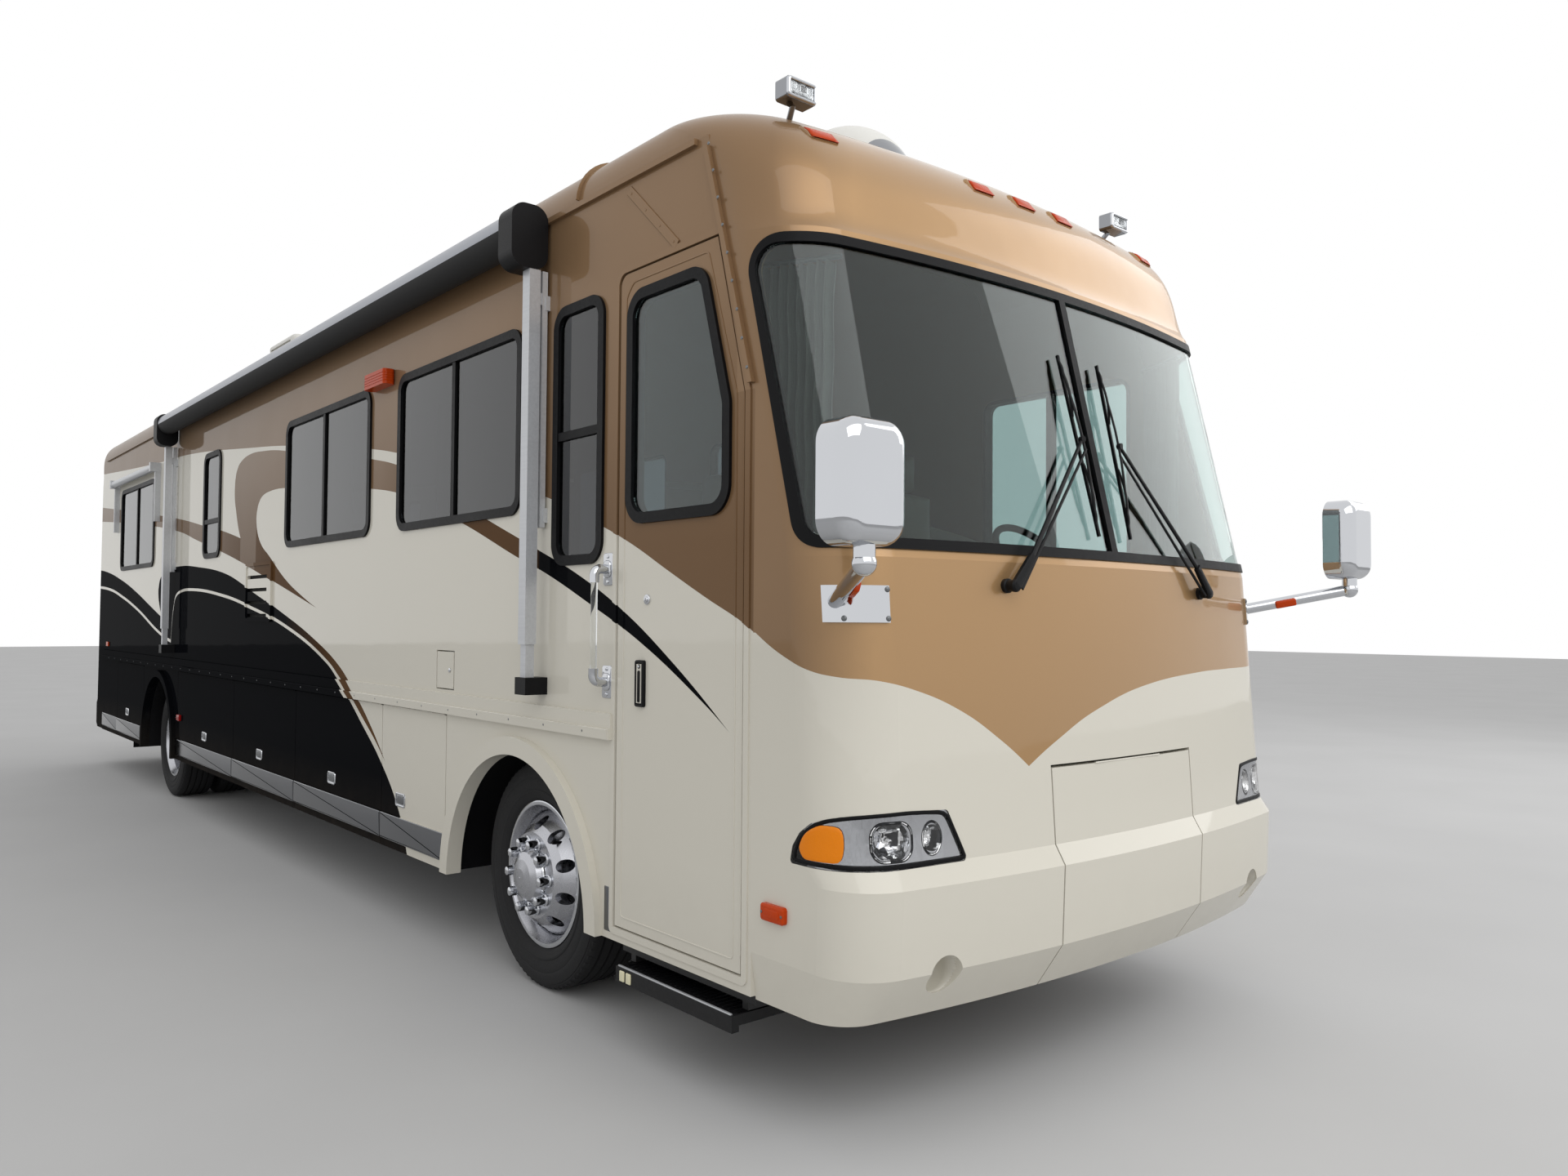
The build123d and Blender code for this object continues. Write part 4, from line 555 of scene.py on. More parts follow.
cameraValues = {"lens": 25.73, "sensor": 36.0, "far": 300.0, "place": (-3.524, -8.1425, 1.584),
                "turns": (40.538, 1.666, 0.400)}
camera = stageObject("photoCamera", bpy.data.cameras.new("photoCamera"))
bpy.context.scene.camera = camera
camera.data.lens = cameraValues["lens"]
camera.data.sensor_width = cameraValues["sensor"]
camera.data.clip_end = cameraValues["far"]
yaw, pitch, roll = (math.radians(a) for a in cameraValues["turns"])
forward = Vector((math.sin(yaw) * math.cos(pitch), math.cos(yaw) * math.cos(pitch), math.sin(pitch)))
right = Vector((math.cos(yaw), -math.sin(yaw), 0))
up = right.cross(forward)
tiltedRight = right * math.cos(roll) + up * math.sin(roll)
tiltedUp = up * math.cos(roll) - right * math.sin(roll)
turn = Matrix((tiltedRight, tiltedUp, -forward)).transposed().to_4x4()
camera.matrix_world = Matrix.Translation(cameraValues["place"]) @ turn
bpy.context.scene.view_settings.view_transform = "Standard"
print("stage: studio")

# Sections of the nose, in metres: height, station at the middle, corner radius, half width
noseRows = [(0.381, 0.112, 0.150, 1.248), (0.534, 0.010, 0.195, 1.27), (0.793, 0.0, 0.200, 1.27),
            (0.855, 0.038, 0.225, 1.27), (1.780, 0.100, 0.255, 1.27), (2.855, 0.357, 0.265, 1.27),
            (3.095, 0.440, 0.280, 1.27), (3.245, 0.548, 0.300, 1.27), (3.322, 0.655, 0.320, 1.255)]
noseBow = 6.4
tailEnd = 12.08
cabinFloor = 1.127


def noseSection(z):
    for low, high in zip(noseRows, noseRows[1:]):
        if z <= high[0]:
            share = max(0.0, (z - low[0]) / (high[0] - low[0]))
            return [low[i] + share * (high[i] - low[i]) for i in (1, 2, 3)]
    return noseRows[-1][1:]


# Tip, corner radius, half width, the corner's centre and the angle where the bow meets it
def noseCorner(z):
    tip, corner, wide = noseSection(z)
    centre = tip + noseBow - math.sqrt((noseBow - corner) ** 2 - (wide - corner) ** 2)
    return tip, corner, wide, centre, math.atan2(wide - corner, tip + noseBow - centre)


# Place on the nose at a distance round it from the middle
def nosePoint(around, z, out=0.0):
    tip, corner, wide, centre, lean = noseCorner(z)
    side = -1 if around < 0 else 1
    run = abs(around)
    if run <= noseBow * lean:
        angle = run / noseBow
        x, s = noseBow * math.sin(angle), tip + noseBow - noseBow * math.cos(angle)
    else:
        angle = min(math.pi / 2, lean + (run - noseBow * lean) / corner)
        x, s = wide - corner + corner * math.sin(angle), centre - corner * math.cos(angle)
        s += max(0.0, run - noseBow * lean - corner * (math.pi / 2 - lean))
    return Vector((side * (x + out * math.sin(angle)), yAt(s - out * math.cos(angle)), z))


# Distance round the nose at which it has the given x
def aroundAt(x, z):
    tip, corner, wide, centre, lean = noseCorner(z)
    run = abs(x)
    if run > wide - corner + corner * math.sin(lean):
        return math.copysign(noseBow * lean + corner * (math.asin((run - wide + corner) / corner) - lean), x)
    return math.copysign(noseBow * math.asin(run / noseBow), x)


def onBow(side, x, z, out):
    return nosePoint(side * noseBow * math.asin(x / noseBow), z, out)


def rightWall(s, z, out=0.0):
    return Vector((-halfWidth - out, yAt(s), z))


def leftWall(s, z, out=0.0):
    return Vector((halfWidth + out, yAt(s), z))


def tailPoint(x, z, out=0.0):
    inset = 0.034 + (z - 0.69) * 0.0115 + x * x / 18
    return Vector((x, yAt(tailEnd - inset + out), z))


def upright(a, b, out):
    return Vector((a, b, out))


bothSides = (("Right", -1, rightWall), ("Left", 1, leftWall))


# Outlines are lists of (a, b), turned into places by one of the functions above
def roundRect(a0, a1, b0, b1, radius, steps=4):
    points = []
    for centreA, centreB, first in ((a1 - radius, b1 - radius, 0), (a0 + radius, b1 - radius, 90),
                                    (a0 + radius, b0 + radius, 180), (a1 - radius, b0 + radius, 270)):
        for step in range(steps + 1):
            angle = math.radians(first + 90 * step / steps)
            points.append((centreA + radius * math.cos(angle), centreB + radius * math.sin(angle)))
    return points


def boxAround(a, b, halfA, halfB, radius, steps=4):
    return roundRect(a - halfA, a + halfA, b - halfB, b + halfB, radius, steps)


def inside(box, amount):
    a0, a1, b0, b1 = box
    return a0 + amount, a1 - amount, b0 + amount, b1 - amount


def oval(a, b, radiusA, radiusB=None, steps=24):
    radiusB = radiusB or radiusA
    return [(a + radiusA * math.cos(2 * math.pi * i / steps), b + radiusB * math.sin(2 * math.pi * i / steps))
            for i in range(steps)]


def smoothOutline(points, radius=0.02, steps=3):
    made = []
    count = len(points)
    for i, (a, b) in enumerate(points):
        before, after = points[i - 1], points[(i + 1) % count]
        lengths = [math.dist((a, b), before), math.dist((a, b), after)]
        cut = min(radius, lengths[0] * 0.45, lengths[1] * 0.45)
        start = (a + (before[0] - a) * cut / lengths[0], b + (before[1] - b) * cut / lengths[0])
        end = (a + (after[0] - a) * cut / lengths[1], b + (after[1] - b) * cut / lengths[1])
        for step in range(steps + 1):
            t = step / steps
            made.append(tuple((1 - t) ** 2 * s + 2 * t * (1 - t) * m + t * t * e
                              for s, m, e in zip(start, (a, b), end)))
    return made


def finer(outline, longest=0.03):
    made = []
    for i, point in enumerate(outline):
        after = outline[(i + 1) % len(outline)]
        count = max(1, math.ceil(math.dist(point, after) / longest))
        made += [tuple(p + (q - p) * k / count for p, q in zip(point, after)) for k in range(count)]
    return made


def shrink(outline, amount):
    count = len(outline)
    area = sum(outline[i][0] * outline[(i + 1) % count][1] - outline[(i + 1) % count][0] * outline[i][1]
               for i in range(count))
    sign = 1 if area > 0 else -1
    moved = []
    for i, (a, b) in enumerate(outline):
        before, after = outline[i - 1], outline[(i + 1) % count]
        da, db = after[0] - before[0], after[1] - before[1]
        size = math.hypot(da, db) or 1.0
        moved.append((a - sign * amount * db / size, b + sign * amount * da / size))
    return moved


# Levels are (inset, out) pairs, one ring of points for each
def domed(thick, radius, base=0.0):
    angles = [math.pi / 6 * step for step in range(4)]
    return [(0.0, base)] + [(radius * (1 - math.cos(a)), thick - radius + radius * math.sin(a)) for a in angles]


def ringsOf(bm, outline, levels, place):
    return [[bm.verts.new(place(a, b, out)) for a, b in shrink(outline, inset)] for inset, out in levels]


def bridge(bm, rings, closed=False):
    for low, high in zip(rings, rings[1:] + (rings[:1] if closed else [])):
        for i in range(len(low)):
            j = (i + 1) % len(low)
            bm.faces.new((low[i], low[j], high[j], high[i]))


def layers(bm, outline, levels, place, capFirst=True, capLast=True):
    rings = ringsOf(bm, outline, levels, place)
    bridge(bm, rings)
    if capFirst:
        bm.faces.new(rings[0][::-1])
    if capLast:
        bm.faces.new(rings[-1])
    return rings


def hoop(bm, outline, wide, levels, place):
    outer = ringsOf(bm, outline, levels, place)
    inner = ringsOf(bm, outline, [(wide - inset, out) for inset, out in levels], place)
    bridge(bm, outer + inner[::-1], closed=True)


def sweep(bm, path, section, closed=False, up=Vector((0, 0, 1))):
    rings = []
    count = len(path)
    for i, point in enumerate(path):
        before = path[i - 1] if (i or closed) else path[i]
        after = path[(i + 1) % count] if (i < count - 1 or closed) else path[i]
        along = (after - before).normalized()
        across = along.cross(up)
        across = across.normalized() if across.length > 1e-4 else Vector((1, 0, 0))
        lift = across.cross(along).normalized()
        rings.append([bm.verts.new(point + across * a + lift * b) for a, b in section])
    bridge(bm, rings, closed)
    if not closed:
        bm.faces.new(rings[0])
        bm.faces.new(rings[-1][::-1])


def lathe(bm, profile, origin, axis, steps=48, closed=False):
    axis = Vector(axis).normalized()
    side = axis.orthogonal().normalized()
    other = axis.cross(side)
    rings = []
    for radius, along in profile:
        centre = Vector(origin) + axis * along
        if radius < 1e-6:
            rings.append([bm.verts.new(centre)])
            continue
        ring = []
        for i in range(steps):
            angle = 2 * math.pi * i / steps
            ring.append(bm.verts.new(centre + side * radius * math.cos(angle) + other * radius * math.sin(angle)))
        rings.append(ring)
    # A ring on the axis is a single point
    for low, high in zip(rings, rings[1:] + (rings[:1] if closed else [])):
        for i in range(steps):
            j = (i + 1) % steps
            corners = [low[i % len(low)], low[j % len(low)], high[j % len(high)], high[i % len(high)]]
            corners = list(dict.fromkeys(corners))
            if len(corners) > 2:
                bm.faces.new(corners)


# A mesh from several of the calls above, each given as the function and its values
def built(*steps):
    bm = bmesh.new()
    for make, *values in steps:
        make(bm, *values)
    return bm


def finishMesh(name, bm, key, smooth):
    bmesh.ops.remove_doubles(bm, verts=bm.verts, dist=1e-6)
    bmesh.ops.recalc_face_normals(bm, faces=bm.faces)
    mesh = bpy.data.meshes.new(name)
    bm.to_mesh(mesh)
    bm.free()
    mesh.materials.append(materials[key])
    mesh.shade_smooth()
    mesh.set_sharp_from_angle(angle=math.radians(smooth))
    return mesh


def placePiece(name, mesh, body):
    piece = bpy.data.objects.new(name, mesh)
    bpy.context.scene.collection.objects.link(piece)
    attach(piece, body)
    return piece


def addPiece(name, bm, key, body="coach_body", smooth=40.0, replaces=()):
    piece = placePiece(name, finishMesh(name, bm, key, smooth), body)
    if replaces:
        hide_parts(*replaces)
    return piece


def thicken(piece, thick=0.0012):
    piece.modifiers.new("wall", "SOLIDIFY").thickness = thick


def evaluated(thing):
    return bpy.data.meshes.new_from_object(thing.evaluated_get(bpy.context.evaluated_depsgraph_get()))


# Geometry Nodes: copies of one item, turned round a pivot or moved along a step
def repeatTree(name, turning):
    tree = bpy.data.node_groups.new(name, "GeometryNodeTree")
    for socket, kind in (("Item", "Geometry"), ("Count", "Int"), ("Step", "Vector"), ("Pivot", "Vector"),
                         ("Finish", "Material")):
        tree.interface.new_socket(socket, in_out="INPUT", socket_type="NodeSocket" + kind)
    tree.interface.new_socket("Geometry", in_out="OUTPUT", socket_type="NodeSocketGeometry")
    graph = Graph(tree)
    given, leave = graph.node("NodeGroupInput").outputs, graph.node("NodeGroupOutput")
    points = graph.node("GeometryNodePoints")
    place = graph.node("GeometryNodeInstanceOnPoints")
    index = graph.node("GeometryNodeInputIndex")
    scaled = graph.node("ShaderNodeVectorMath", operation="SCALE")
    moved = graph.node("GeometryNodeRotateInstances" if turning else "GeometryNodeTranslateInstances")
    real = graph.node("GeometryNodeRealizeInstances")
    finish = graph.node("GeometryNodeSetMaterial")
    moved.inputs["Local Space"].default_value = False
    if turning:
        graph.plug(given["Pivot"], moved.inputs["Pivot Point"])
    for source, socket in ((given["Step"], scaled.inputs[0]), (index.outputs[0], scaled.inputs["Scale"]),
                           (given["Count"], points.inputs["Count"]), (points.outputs[0], place.inputs["Points"]),
                           (given["Item"], place.inputs["Instance"]), (place.outputs[0], moved.inputs["Instances"]),
                           (scaled.outputs[0], moved.inputs["Rotation" if turning else "Translation"]),
                           (moved.outputs[0], real.inputs[0]), (real.outputs[0], finish.inputs["Geometry"]),
                           (given["Finish"], finish.inputs["Material"]), (finish.outputs[0], leave.inputs[0])):
        graph.plug(source, socket)
    return tree


ringTree = repeatTree("ringOfItems", True)
rowTree = repeatTree("rowOfItems", False)


def addRepeated(name, bm, key, tree, count, step, pivot=(0, 0, 0), body="coach_body", smooth=40.0):
    item = bpy.data.objects.new(name, finishMesh(name + "Item", bm, key, smooth))
    bpy.context.scene.collection.objects.link(item)
    modifier = item.modifiers.new("repeat", "NODES")
    modifier.node_group = tree
    values = {"Count": count, "Step": step, "Pivot": pivot, "Finish": materials[key]}
    for socket in tree.interface.items_tree:
        if socket.name in values:
            modifier[socket.identifier] = values[socket.name]
    mesh = evaluated(item)
    bpy.data.objects.remove(item)
    return placePiece(name, mesh, body)


# Tyres, with four grooves and shoulder ribs
tyreValues = {"radius": 0.485, "grooves": (-0.069, -0.023, 0.023, 0.069), "grooveHalf": 0.0055,
              "grooveDeep": 0.013, "ribs": 78, "ribRadii": (0.4600, 0.4835), "ribHalf": 0.0075,
              "front": 2.198, "rear": 8.9, "outer": 1.026, "inner": 0.701,
              "side": [(0.306, 0.098), (0.318, 0.119), (0.334, 0.1315), (0.349, 0.1345), (0.352, 0.137),
                       (0.359, 0.137), (0.362, 0.1345), (0.385, 0.1382), (0.408, 0.139), (0.412, 0.1372),
                       (0.416, 0.139), (0.432, 0.1372), (0.448, 0.134), (0.459, 0.1305), (0.4605, 0.127),
                       (0.466, 0.1262), (0.4765, 0.117), (0.4822, 0.103)]}


def tyreProfile():
    v = tyreValues
    tread = []
    for u in reversed(v["grooves"]):
        crown = v["radius"] - 0.0004 - 0.22 * u * u
        tread += [(crown, u + v["grooveHalf"] + 0.001), (crown - v["grooveDeep"], u + v["grooveHalf"] - 0.002),
                  (crown - v["grooveDeep"], u - v["grooveHalf"] + 0.002), (crown, u - v["grooveHalf"] - 0.001)]
    return v["side"] + tread + [(r, -u) for r, u in reversed(v["side"])]


def tyreRibs(bm, centre):
    low, high = tyreValues["ribRadii"]
    wide = tyreValues["ribHalf"]
    for side in (-1, 1):
        corners = []
        for r, u in ((low, 0.126), (high - 0.006, 0.1195), (high, 0.1045), (low, 0.1045)):
            for half in (-wide, wide):
                corners.append(bm.verts.new(Vector(centre) + Vector((side * u, half, r))))
        for a, b in ((0, 2), (2, 4), (4, 6), (6, 0)):
            bm.faces.new((corners[a], corners[a + 1], corners[b + 1], corners[b]))
        bm.faces.new(corners[0::2])
        bm.faces.new(corners[1::2])


def addTyres(node, body, station, side, columns):
    centres = [(side * x, yAt(station), tyreValues["radius"]) for x in columns]
    rubber = built(*((lathe, tyreProfile(), centre, (1, 0, 0), 84, True) for centre in centres))
    addPiece(node + "Rubber", rubber, "tyre", body, 32.0, replaces=(node,))
    turn = (2 * math.pi / tyreValues["ribs"], 0.0, 0.0)
    for number, centre in enumerate(centres):
        addRepeated(f"{node}Ribs{number}", built((tyreRibs, centre)), "tyre", ringTree, tyreValues["ribs"], turn,
                    centre, body)


# Wheels: nut covers, rim beads, hub ring and valve
wheelValues = {"nuts": 10, "nutCircle": 0.142875, "nutRadius": 0.0225, "nutHigh": 0.054, "face": 0.1625,
               "bead": [(0.2965, 0.1195), (0.3045, 0.1205), (0.3115, 0.1185), (0.3125, 0.1145), (0.306, 0.112),
                        (0.2965, 0.114)],
               "dishedHub": [(0.086, -0.002), (0.104, 0.004), (0.103, 0.03), (0.0955, 0.034), (0.086, 0.034)],
               "hub": [(0.1135, -0.001), (0.1215, -0.001), (0.1215, 0.006), (0.1165, 0.0145), (0.1135, 0.015)],
               "valve": [(0.0, 0.0), (0.0062, 0.0), (0.0062, 0.03), (0.0085, 0.031), (0.0085, 0.048),
                         (0.006, 0.052), (0.0, 0.052)]}


def addWheelTrim(name, body, station, side, dished):
    v = wheelValues
    centre = (side * tyreValues["outer"], yAt(station), tyreValues["radius"])
    outward = (side, 0, 0)
    face = -v["face"] + 0.02 if dished else v["face"]
    r, high = v["nutRadius"], v["nutHigh"]
    cover = [(0.0, 0.002), (r + 0.004, 0.001), (r + 0.004, 0.006), (r, 0.009), (r * 0.93, high * 0.7),
             (r * 0.8, high * 0.92), (r * 0.45, high), (0.0, high + 0.001)]
    start = Vector(centre) + Vector((side * face, v["nutCircle"], 0))
    addRepeated(name + "NutCovers", built((lathe, cover, start, outward, 14)), "chrome", ringTree, v["nuts"],
                (2 * math.pi / v["nuts"], 0.0, 0.0), centre, body)
    hub = [(radius, face + along) for radius, along in v["dishedHub" if dished else "hub"]]
    addPiece(name + "Rings", built((lathe, v["bead"], centre, outward, 72, True),
                                   (lathe, hub, centre, outward, 40, True)), "chrome", body)
    stem = Vector(centre) + Vector((side * (face - (0.03 if dished else 0.052)), -0.157, 0.157))
    addPiece(name + "Valve", built((lathe, v["valve"], stem, (side, -0.12, 0.12), 12)), "rubber", body)


for label, side in (("right", -1), ("left", 1)):
    v = tyreValues
    addTyres(f"front_tyre_{label}", f"front_wheel_{label}", v["front"], side, (v["outer"],))
    addTyres(f"rear_tyres_{label}", f"rear_wheels_{label}", v["rear"], side, (v["outer"], v["inner"]))
    addWheelTrim(f"frontWheel{label}", f"front_wheel_{label}", v["front"], side, False)
    addWheelTrim(f"rearWheels{label}", f"rear_wheels_{label}", v["rear"], side, True)
print("stage: wheels")

# Headlamps: rubber seal, chrome bowls with bulbs, amber turn lens, all following the nose
lampValues = {
    "outline": [(0.830, 0.853), (0.868, 0.935), (0.903, 1.007), (0.98, 1.0145), (1.07, 1.018), (1.16, 1.0155),
                (1.243, 1.009), (1.319, 0.996), (1.368, 0.976), (1.415, 0.943), (1.447, 0.9), (1.458, 0.853),
                (1.3, 0.851), (1.05, 0.851)],
    "turn": [(1.274, 0.868), (1.262, 0.918), (1.266, 0.974), (1.342, 0.978), (1.398, 0.948), (1.428, 0.898),
             (1.408, 0.868)],
    "main": (1.042, 1.182, 0.872, 0.984), "inner": (0.965, 0.929, 0.036, 0.049),
    "mainLevels": [(-0.006, -0.0085), (-0.002, -0.005), (0.002, -0.0055), (0.006, -0.011), (0.012, -0.03),
                   (0.022, -0.046), (0.036, -0.055)],
    "innerLevels": [(-0.005, -0.0085), (-0.002, -0.005), (0.002, -0.0055), (0.006, -0.011), (0.011, -0.03),
                    (0.018, -0.045), (0.026, -0.052)],
    "bulbs": ((1.112, 0.928), (0.965, 0.929)),
    "bulb": [(0.0, -0.002), (0.011, -0.002), (0.011, 0.006), (0.0065, 0.008), (0.0065, 0.027), (0.004, 0.031),
             (0.0, 0.032)],
}
for label, side, _ in bothSides:
    v = lampValues
    place = lambda a, z, out: nosePoint(side * a, z, out)
    edge = finer(smoothOutline(v["outline"], 0.03))
    addPiece("headlampSeal" + label,
             built((hoop, edge, 0.013, [(0.0, -0.002), (0.001, 0.002), (0.004, 0.0032)], place)), "rubber")
    shape = finer(smoothOutline(v["turn"], 0.035), 0.02)
    bm = bmesh.new()
    ring = layers(bm, shape, [(0.0, -0.0004), (0.0, 0.0012), (0.0025, 0.0026), (0.009, 0.0032)], place,
                  capLast=False)[-1]
    middle = [sum(point[k] for point in shape) / len(shape) for k in (0, 1)]
    for share in (0.6, 0.35, 0.1):
        inner = [bm.verts.new(place(*(m + (p - m) * share for m, p in zip(middle, point)), 0.0036))
                 for point in shape]
        for i in range(len(ring)):
            bm.faces.new((ring[i], ring[i - 1], inner[i - 1], inner[i]))
        ring = inner
    bm.faces.new(ring)
    addPiece("turnLens" + label, bm, "turn")
    bowls = built((layers, finer(roundRect(*v["main"], 0.042, 6), 0.02), v["mainLevels"], place, False),
                  (layers, oval(*v["inner"], 32), v["innerLevels"], place, False))
    thicken(addPiece("headlampBowls" + label, bowls, "facet", smooth=60.0))
    bm = bmesh.new()
    for a, b in v["bulbs"]:
        start = place(a, b, -0.05)
        lathe(bm, v["bulb"], start, (place(a, b, 0.0) - start).normalized(), 16)
    addPiece("headlampBulbs" + label, bm, "lampGlass")
print("stage: headlamps")

# Mirrors: back, two glasses, lamps on the arms and screws of the plates
mirrorValues = {"x": 1.466, "y": -0.035, "low": 1.794, "high": 2.102, "half": 0.105, "split": 0.34, "gap": 0.008,
                "arm": ((1.466, -0.095, 1.734), (1.212, 0.290, 1.640)), "screwX": (1.099, 1.232),
                "screwZ": (1.592, 1.68),
                "screw": [(0.0, 0.0), (0.009, 0.0), (0.009, 0.0015), (0.0065, 0.004), (0.0025, 0.005),
                          (0.0, 0.0035)]}
for label, side, _ in bothSides:
    v = mirrorValues
    facing = lambda a, z, out: Vector((side * a, yAt(v["y"] + out), z))
    x0, x1 = v["x"] - v["half"], v["x"] + v["half"]
    low, high = v["low"], v["high"]
    split = low + (high - low) * v["split"]
    whole = roundRect(*inside((x0, x1, low, high), -0.006), 0.06, 6)
    addPiece("mirrorBack" + label, built((layers, whole, [(0.0, -0.002), (0.0, 0.003), (0.003, 0.005)], facing)),
             "plastic")
    glass = built((layers, roundRect(x0, x1, split + v["gap"], high, 0.05, 6),
                   [(0.0, 0.0045), (0.0, 0.0065), (0.0015, 0.008)], facing),
                  (layers, roundRect(x0, x1, low, split - v["gap"], 0.05, 6),
                   [(0.0, 0.0045), (0.0, 0.0065), (0.006, 0.0085), (0.03, 0.0125), (0.045, 0.0133)], facing))
    addPiece("mirrorGlass" + label, glass, "mirrorSteel")
    start, end = (Vector((side * x, yAt(s), z)) for x, s, z in v["arm"])
    along = (end - start).normalized()
    mid = start.lerp(end, 0.56)
    out = Vector((0, -1, 0)) - along * Vector((0, -1, 0)).dot(along)
    out.normalize()
    lift = along.cross(out)
    onArm = lambda a, b, d: mid + lift * a + along * b + out * (0.019 + d)
    addPiece("mirrorArmLamp" + label, built((layers, boxAround(0, 0, 0.016, 0.042, 0.007), domed(0.016, 0.006), onArm)),
             "amberSolid")
    bm = bmesh.new()
    for x in v["screwX"]:
        for z in v["screwZ"]:
            base = nosePoint(side * x, z, 0.009)
            lathe(bm, v["screw"], base, (nosePoint(side * x, z, 0.02) - base).normalized(), 14)
    addPiece("mirrorScrews" + label, bm, "steel")
print("stage: mirrors")

# Entry door: recessed handle, lock, keyway and edge moulding
doorValues = {"handle": (1.219, 1.275, 1.268, 1.437), "lever": (1.238, 1.254, 1.284, 1.40),
              "button": (1.246, 1.414), "lock": (1.213, 1.657),
              "edge": [(0.695, 0.487), (1.374, 0.487), (1.374, 2.79), (1.325, 2.84), (0.858, 2.84), (0.695, 2.33)]}
v = doorValues
handle = built((hoop, roundRect(*v["handle"], 0.009), 0.011, [(0.0, -0.002), (0.0, 0.010), (0.003, 0.0135)], rightWall),
               (layers, roundRect(*inside(v["handle"], 0.004), 0.006), [(0.0, -0.002), (0.0, 0.003)], rightWall),
               (layers, roundRect(*v["lever"], 0.006), domed(0.0165, 0.005), rightWall),
               (layers, oval(*v["button"], 0.0085, steps=16), domed(0.0145, 0.003), rightWall))
addPiece("doorHandle", handle, "plastic", "entry_door")
lock = built((layers, oval(*v["lock"], 0.019, steps=28), domed(0.006, 0.003), rightWall),
             (layers, oval(*v["lock"], 0.0105, steps=20), domed(0.0095, 0.002), rightWall),
             (layers, oval(*v["button"], 0.0055, steps=14), domed(0.0165, 0.0015), rightWall))
addPiece("doorLock", lock, "chrome", "entry_door")
# The keyway: a flat near-black plate on the lock, painted shade standing for the slot
addPiece("doorKeyway", built((layers, boxAround(*v["lock"], 0.0012, 0.005, 0.001, 1), [(0, 0.009), (0, 0.0099)],
                              rightWall)), "dark", "entry_door")
addPiece("doorEdgeMoulding", built((hoop, finer(smoothOutline(v["edge"], 0.02), 0.2), 0.006,
                                    [(0.0, -0.001), (0.0004, 0.0018), (0.0022, 0.0026)], rightWall)),
         "paint", "entry_door")

# Grab handle: chrome feet with screws; the bar and its elbows follow below
handleValues = {"s": 1.479, "low": 1.348, "high": 1.774, "out": 0.062, "bar": 0.0125, "elbow": 0.0185, "bend": 0.026}
bm = bmesh.new()
for z in (handleValues["low"], handleValues["high"]):
    layers(bm, boxAround(handleValues["s"], z, 0.033, 0.062, 0.012), domed(0.0045, 0.003), rightWall)
    for dz in (-0.048, 0.048):
        lathe(bm, [(0.0, 0.0), (0.0075, 0.0), (0.007, 0.0025), (0.002, 0.0036), (0.0, 0.003)],
              rightWall(handleValues["s"], z + dz, 0.0045), (-1, 0, 0), 12)
addPiece("grabHandleFeet", bm, "chrome")

# Bay lids: bright strips and paddle latches, as (front edge, rear edge, latch)
lidValues = {"bay_lid_right_1": (2.912, 3.712, 3.454), "bay_lid_right_2": (3.712, 5.145, 4.477),
             "bay_lid_right_3": (5.145, 6.546, 5.901), "bay_lid_right_4": (6.546, 8.226, 7.351),
             "bay_lid_right_5": (9.540, 10.746, 10.252), "bay_lid_left_1": (3.712, 5.145, 4.43),
             "bay_lid_left_2": (5.145, 6.546, 5.85), "bay_lid_left_3": (6.546, 8.226, 7.35)}
latchValues = {"z": 0.655, "wide": 0.062, "tall": 0.036}
stripValues = {"low": 0.4345, "high": 0.5655, "out": 0.0062, "gap": 0.004, "sunk": 0.0055,
               "Right": [(2.886, 2.906), (8.232, 8.335), (9.465, 9.534), (10.752, 11.535)],
               "Left": [(2.886, 2.906), (8.232, 8.335), (9.465, 9.534), (2.918, 3.706), (9.54, 11.535)]}


def brightStrip(bm, place, first, last):
    v = stripValues
    outline = roundRect(first + v["gap"], last - v["gap"], v["low"], v["high"], 0.004, 2)
    layers(bm, outline, [(0.0, v["out"] - 0.001), (0.0, v["out"] + 0.0012), (0.003, v["out"] + 0.0026),
                         (0.008, v["out"] + 0.003)], place)


for lid, (first, last, s) in lidValues.items():
    place = rightWall if "right" in lid else leftWall
    addPiece(lid + "Strip", built((brightStrip, place, first, last)), "mirrorSteel", lid, 12)
    z, wide, tall = latchValues["z"], latchValues["wide"], latchValues["tall"]
    dish = built((hoop, boxAround(s, z, wide, tall, 0.016), 0.012,
                  [(0.0, -0.001), (0.001, 0.0035), (0.004, 0.005)], place),
                 (layers, boxAround(s, z, wide - 0.006, tall - 0.006, 0.012), [(0.0, -0.001), (0.0, 0.001)], place))
    paddle = built((layers, roundRect(s - wide + 0.017, s + wide - 0.03, z - tall + 0.017, z + tall - 0.017, 0.008),
                    [(0.0, 0.0), (0.0, 0.004), (0.0015, 0.0062), (0.006, 0.007)], place),
                   (layers, oval(s + wide - 0.02, z, 0.0075, steps=16), domed(0.0065, 0.002), place))
    addPiece(lid + "LatchDish", dish, "chrome", lid)
    addPiece(lid + "Latch", paddle, "steel", lid)
for label, side, place in bothSides:
    sunk = lambda a, b, out: place(a, b, out - stripValues["sunk"])
    strips = built(*((brightStrip, sunk, first, last) for first, last in stripValues[label]))
    addPiece("skirtStrip" + label, strips, "mirrorSteel", smooth=12)

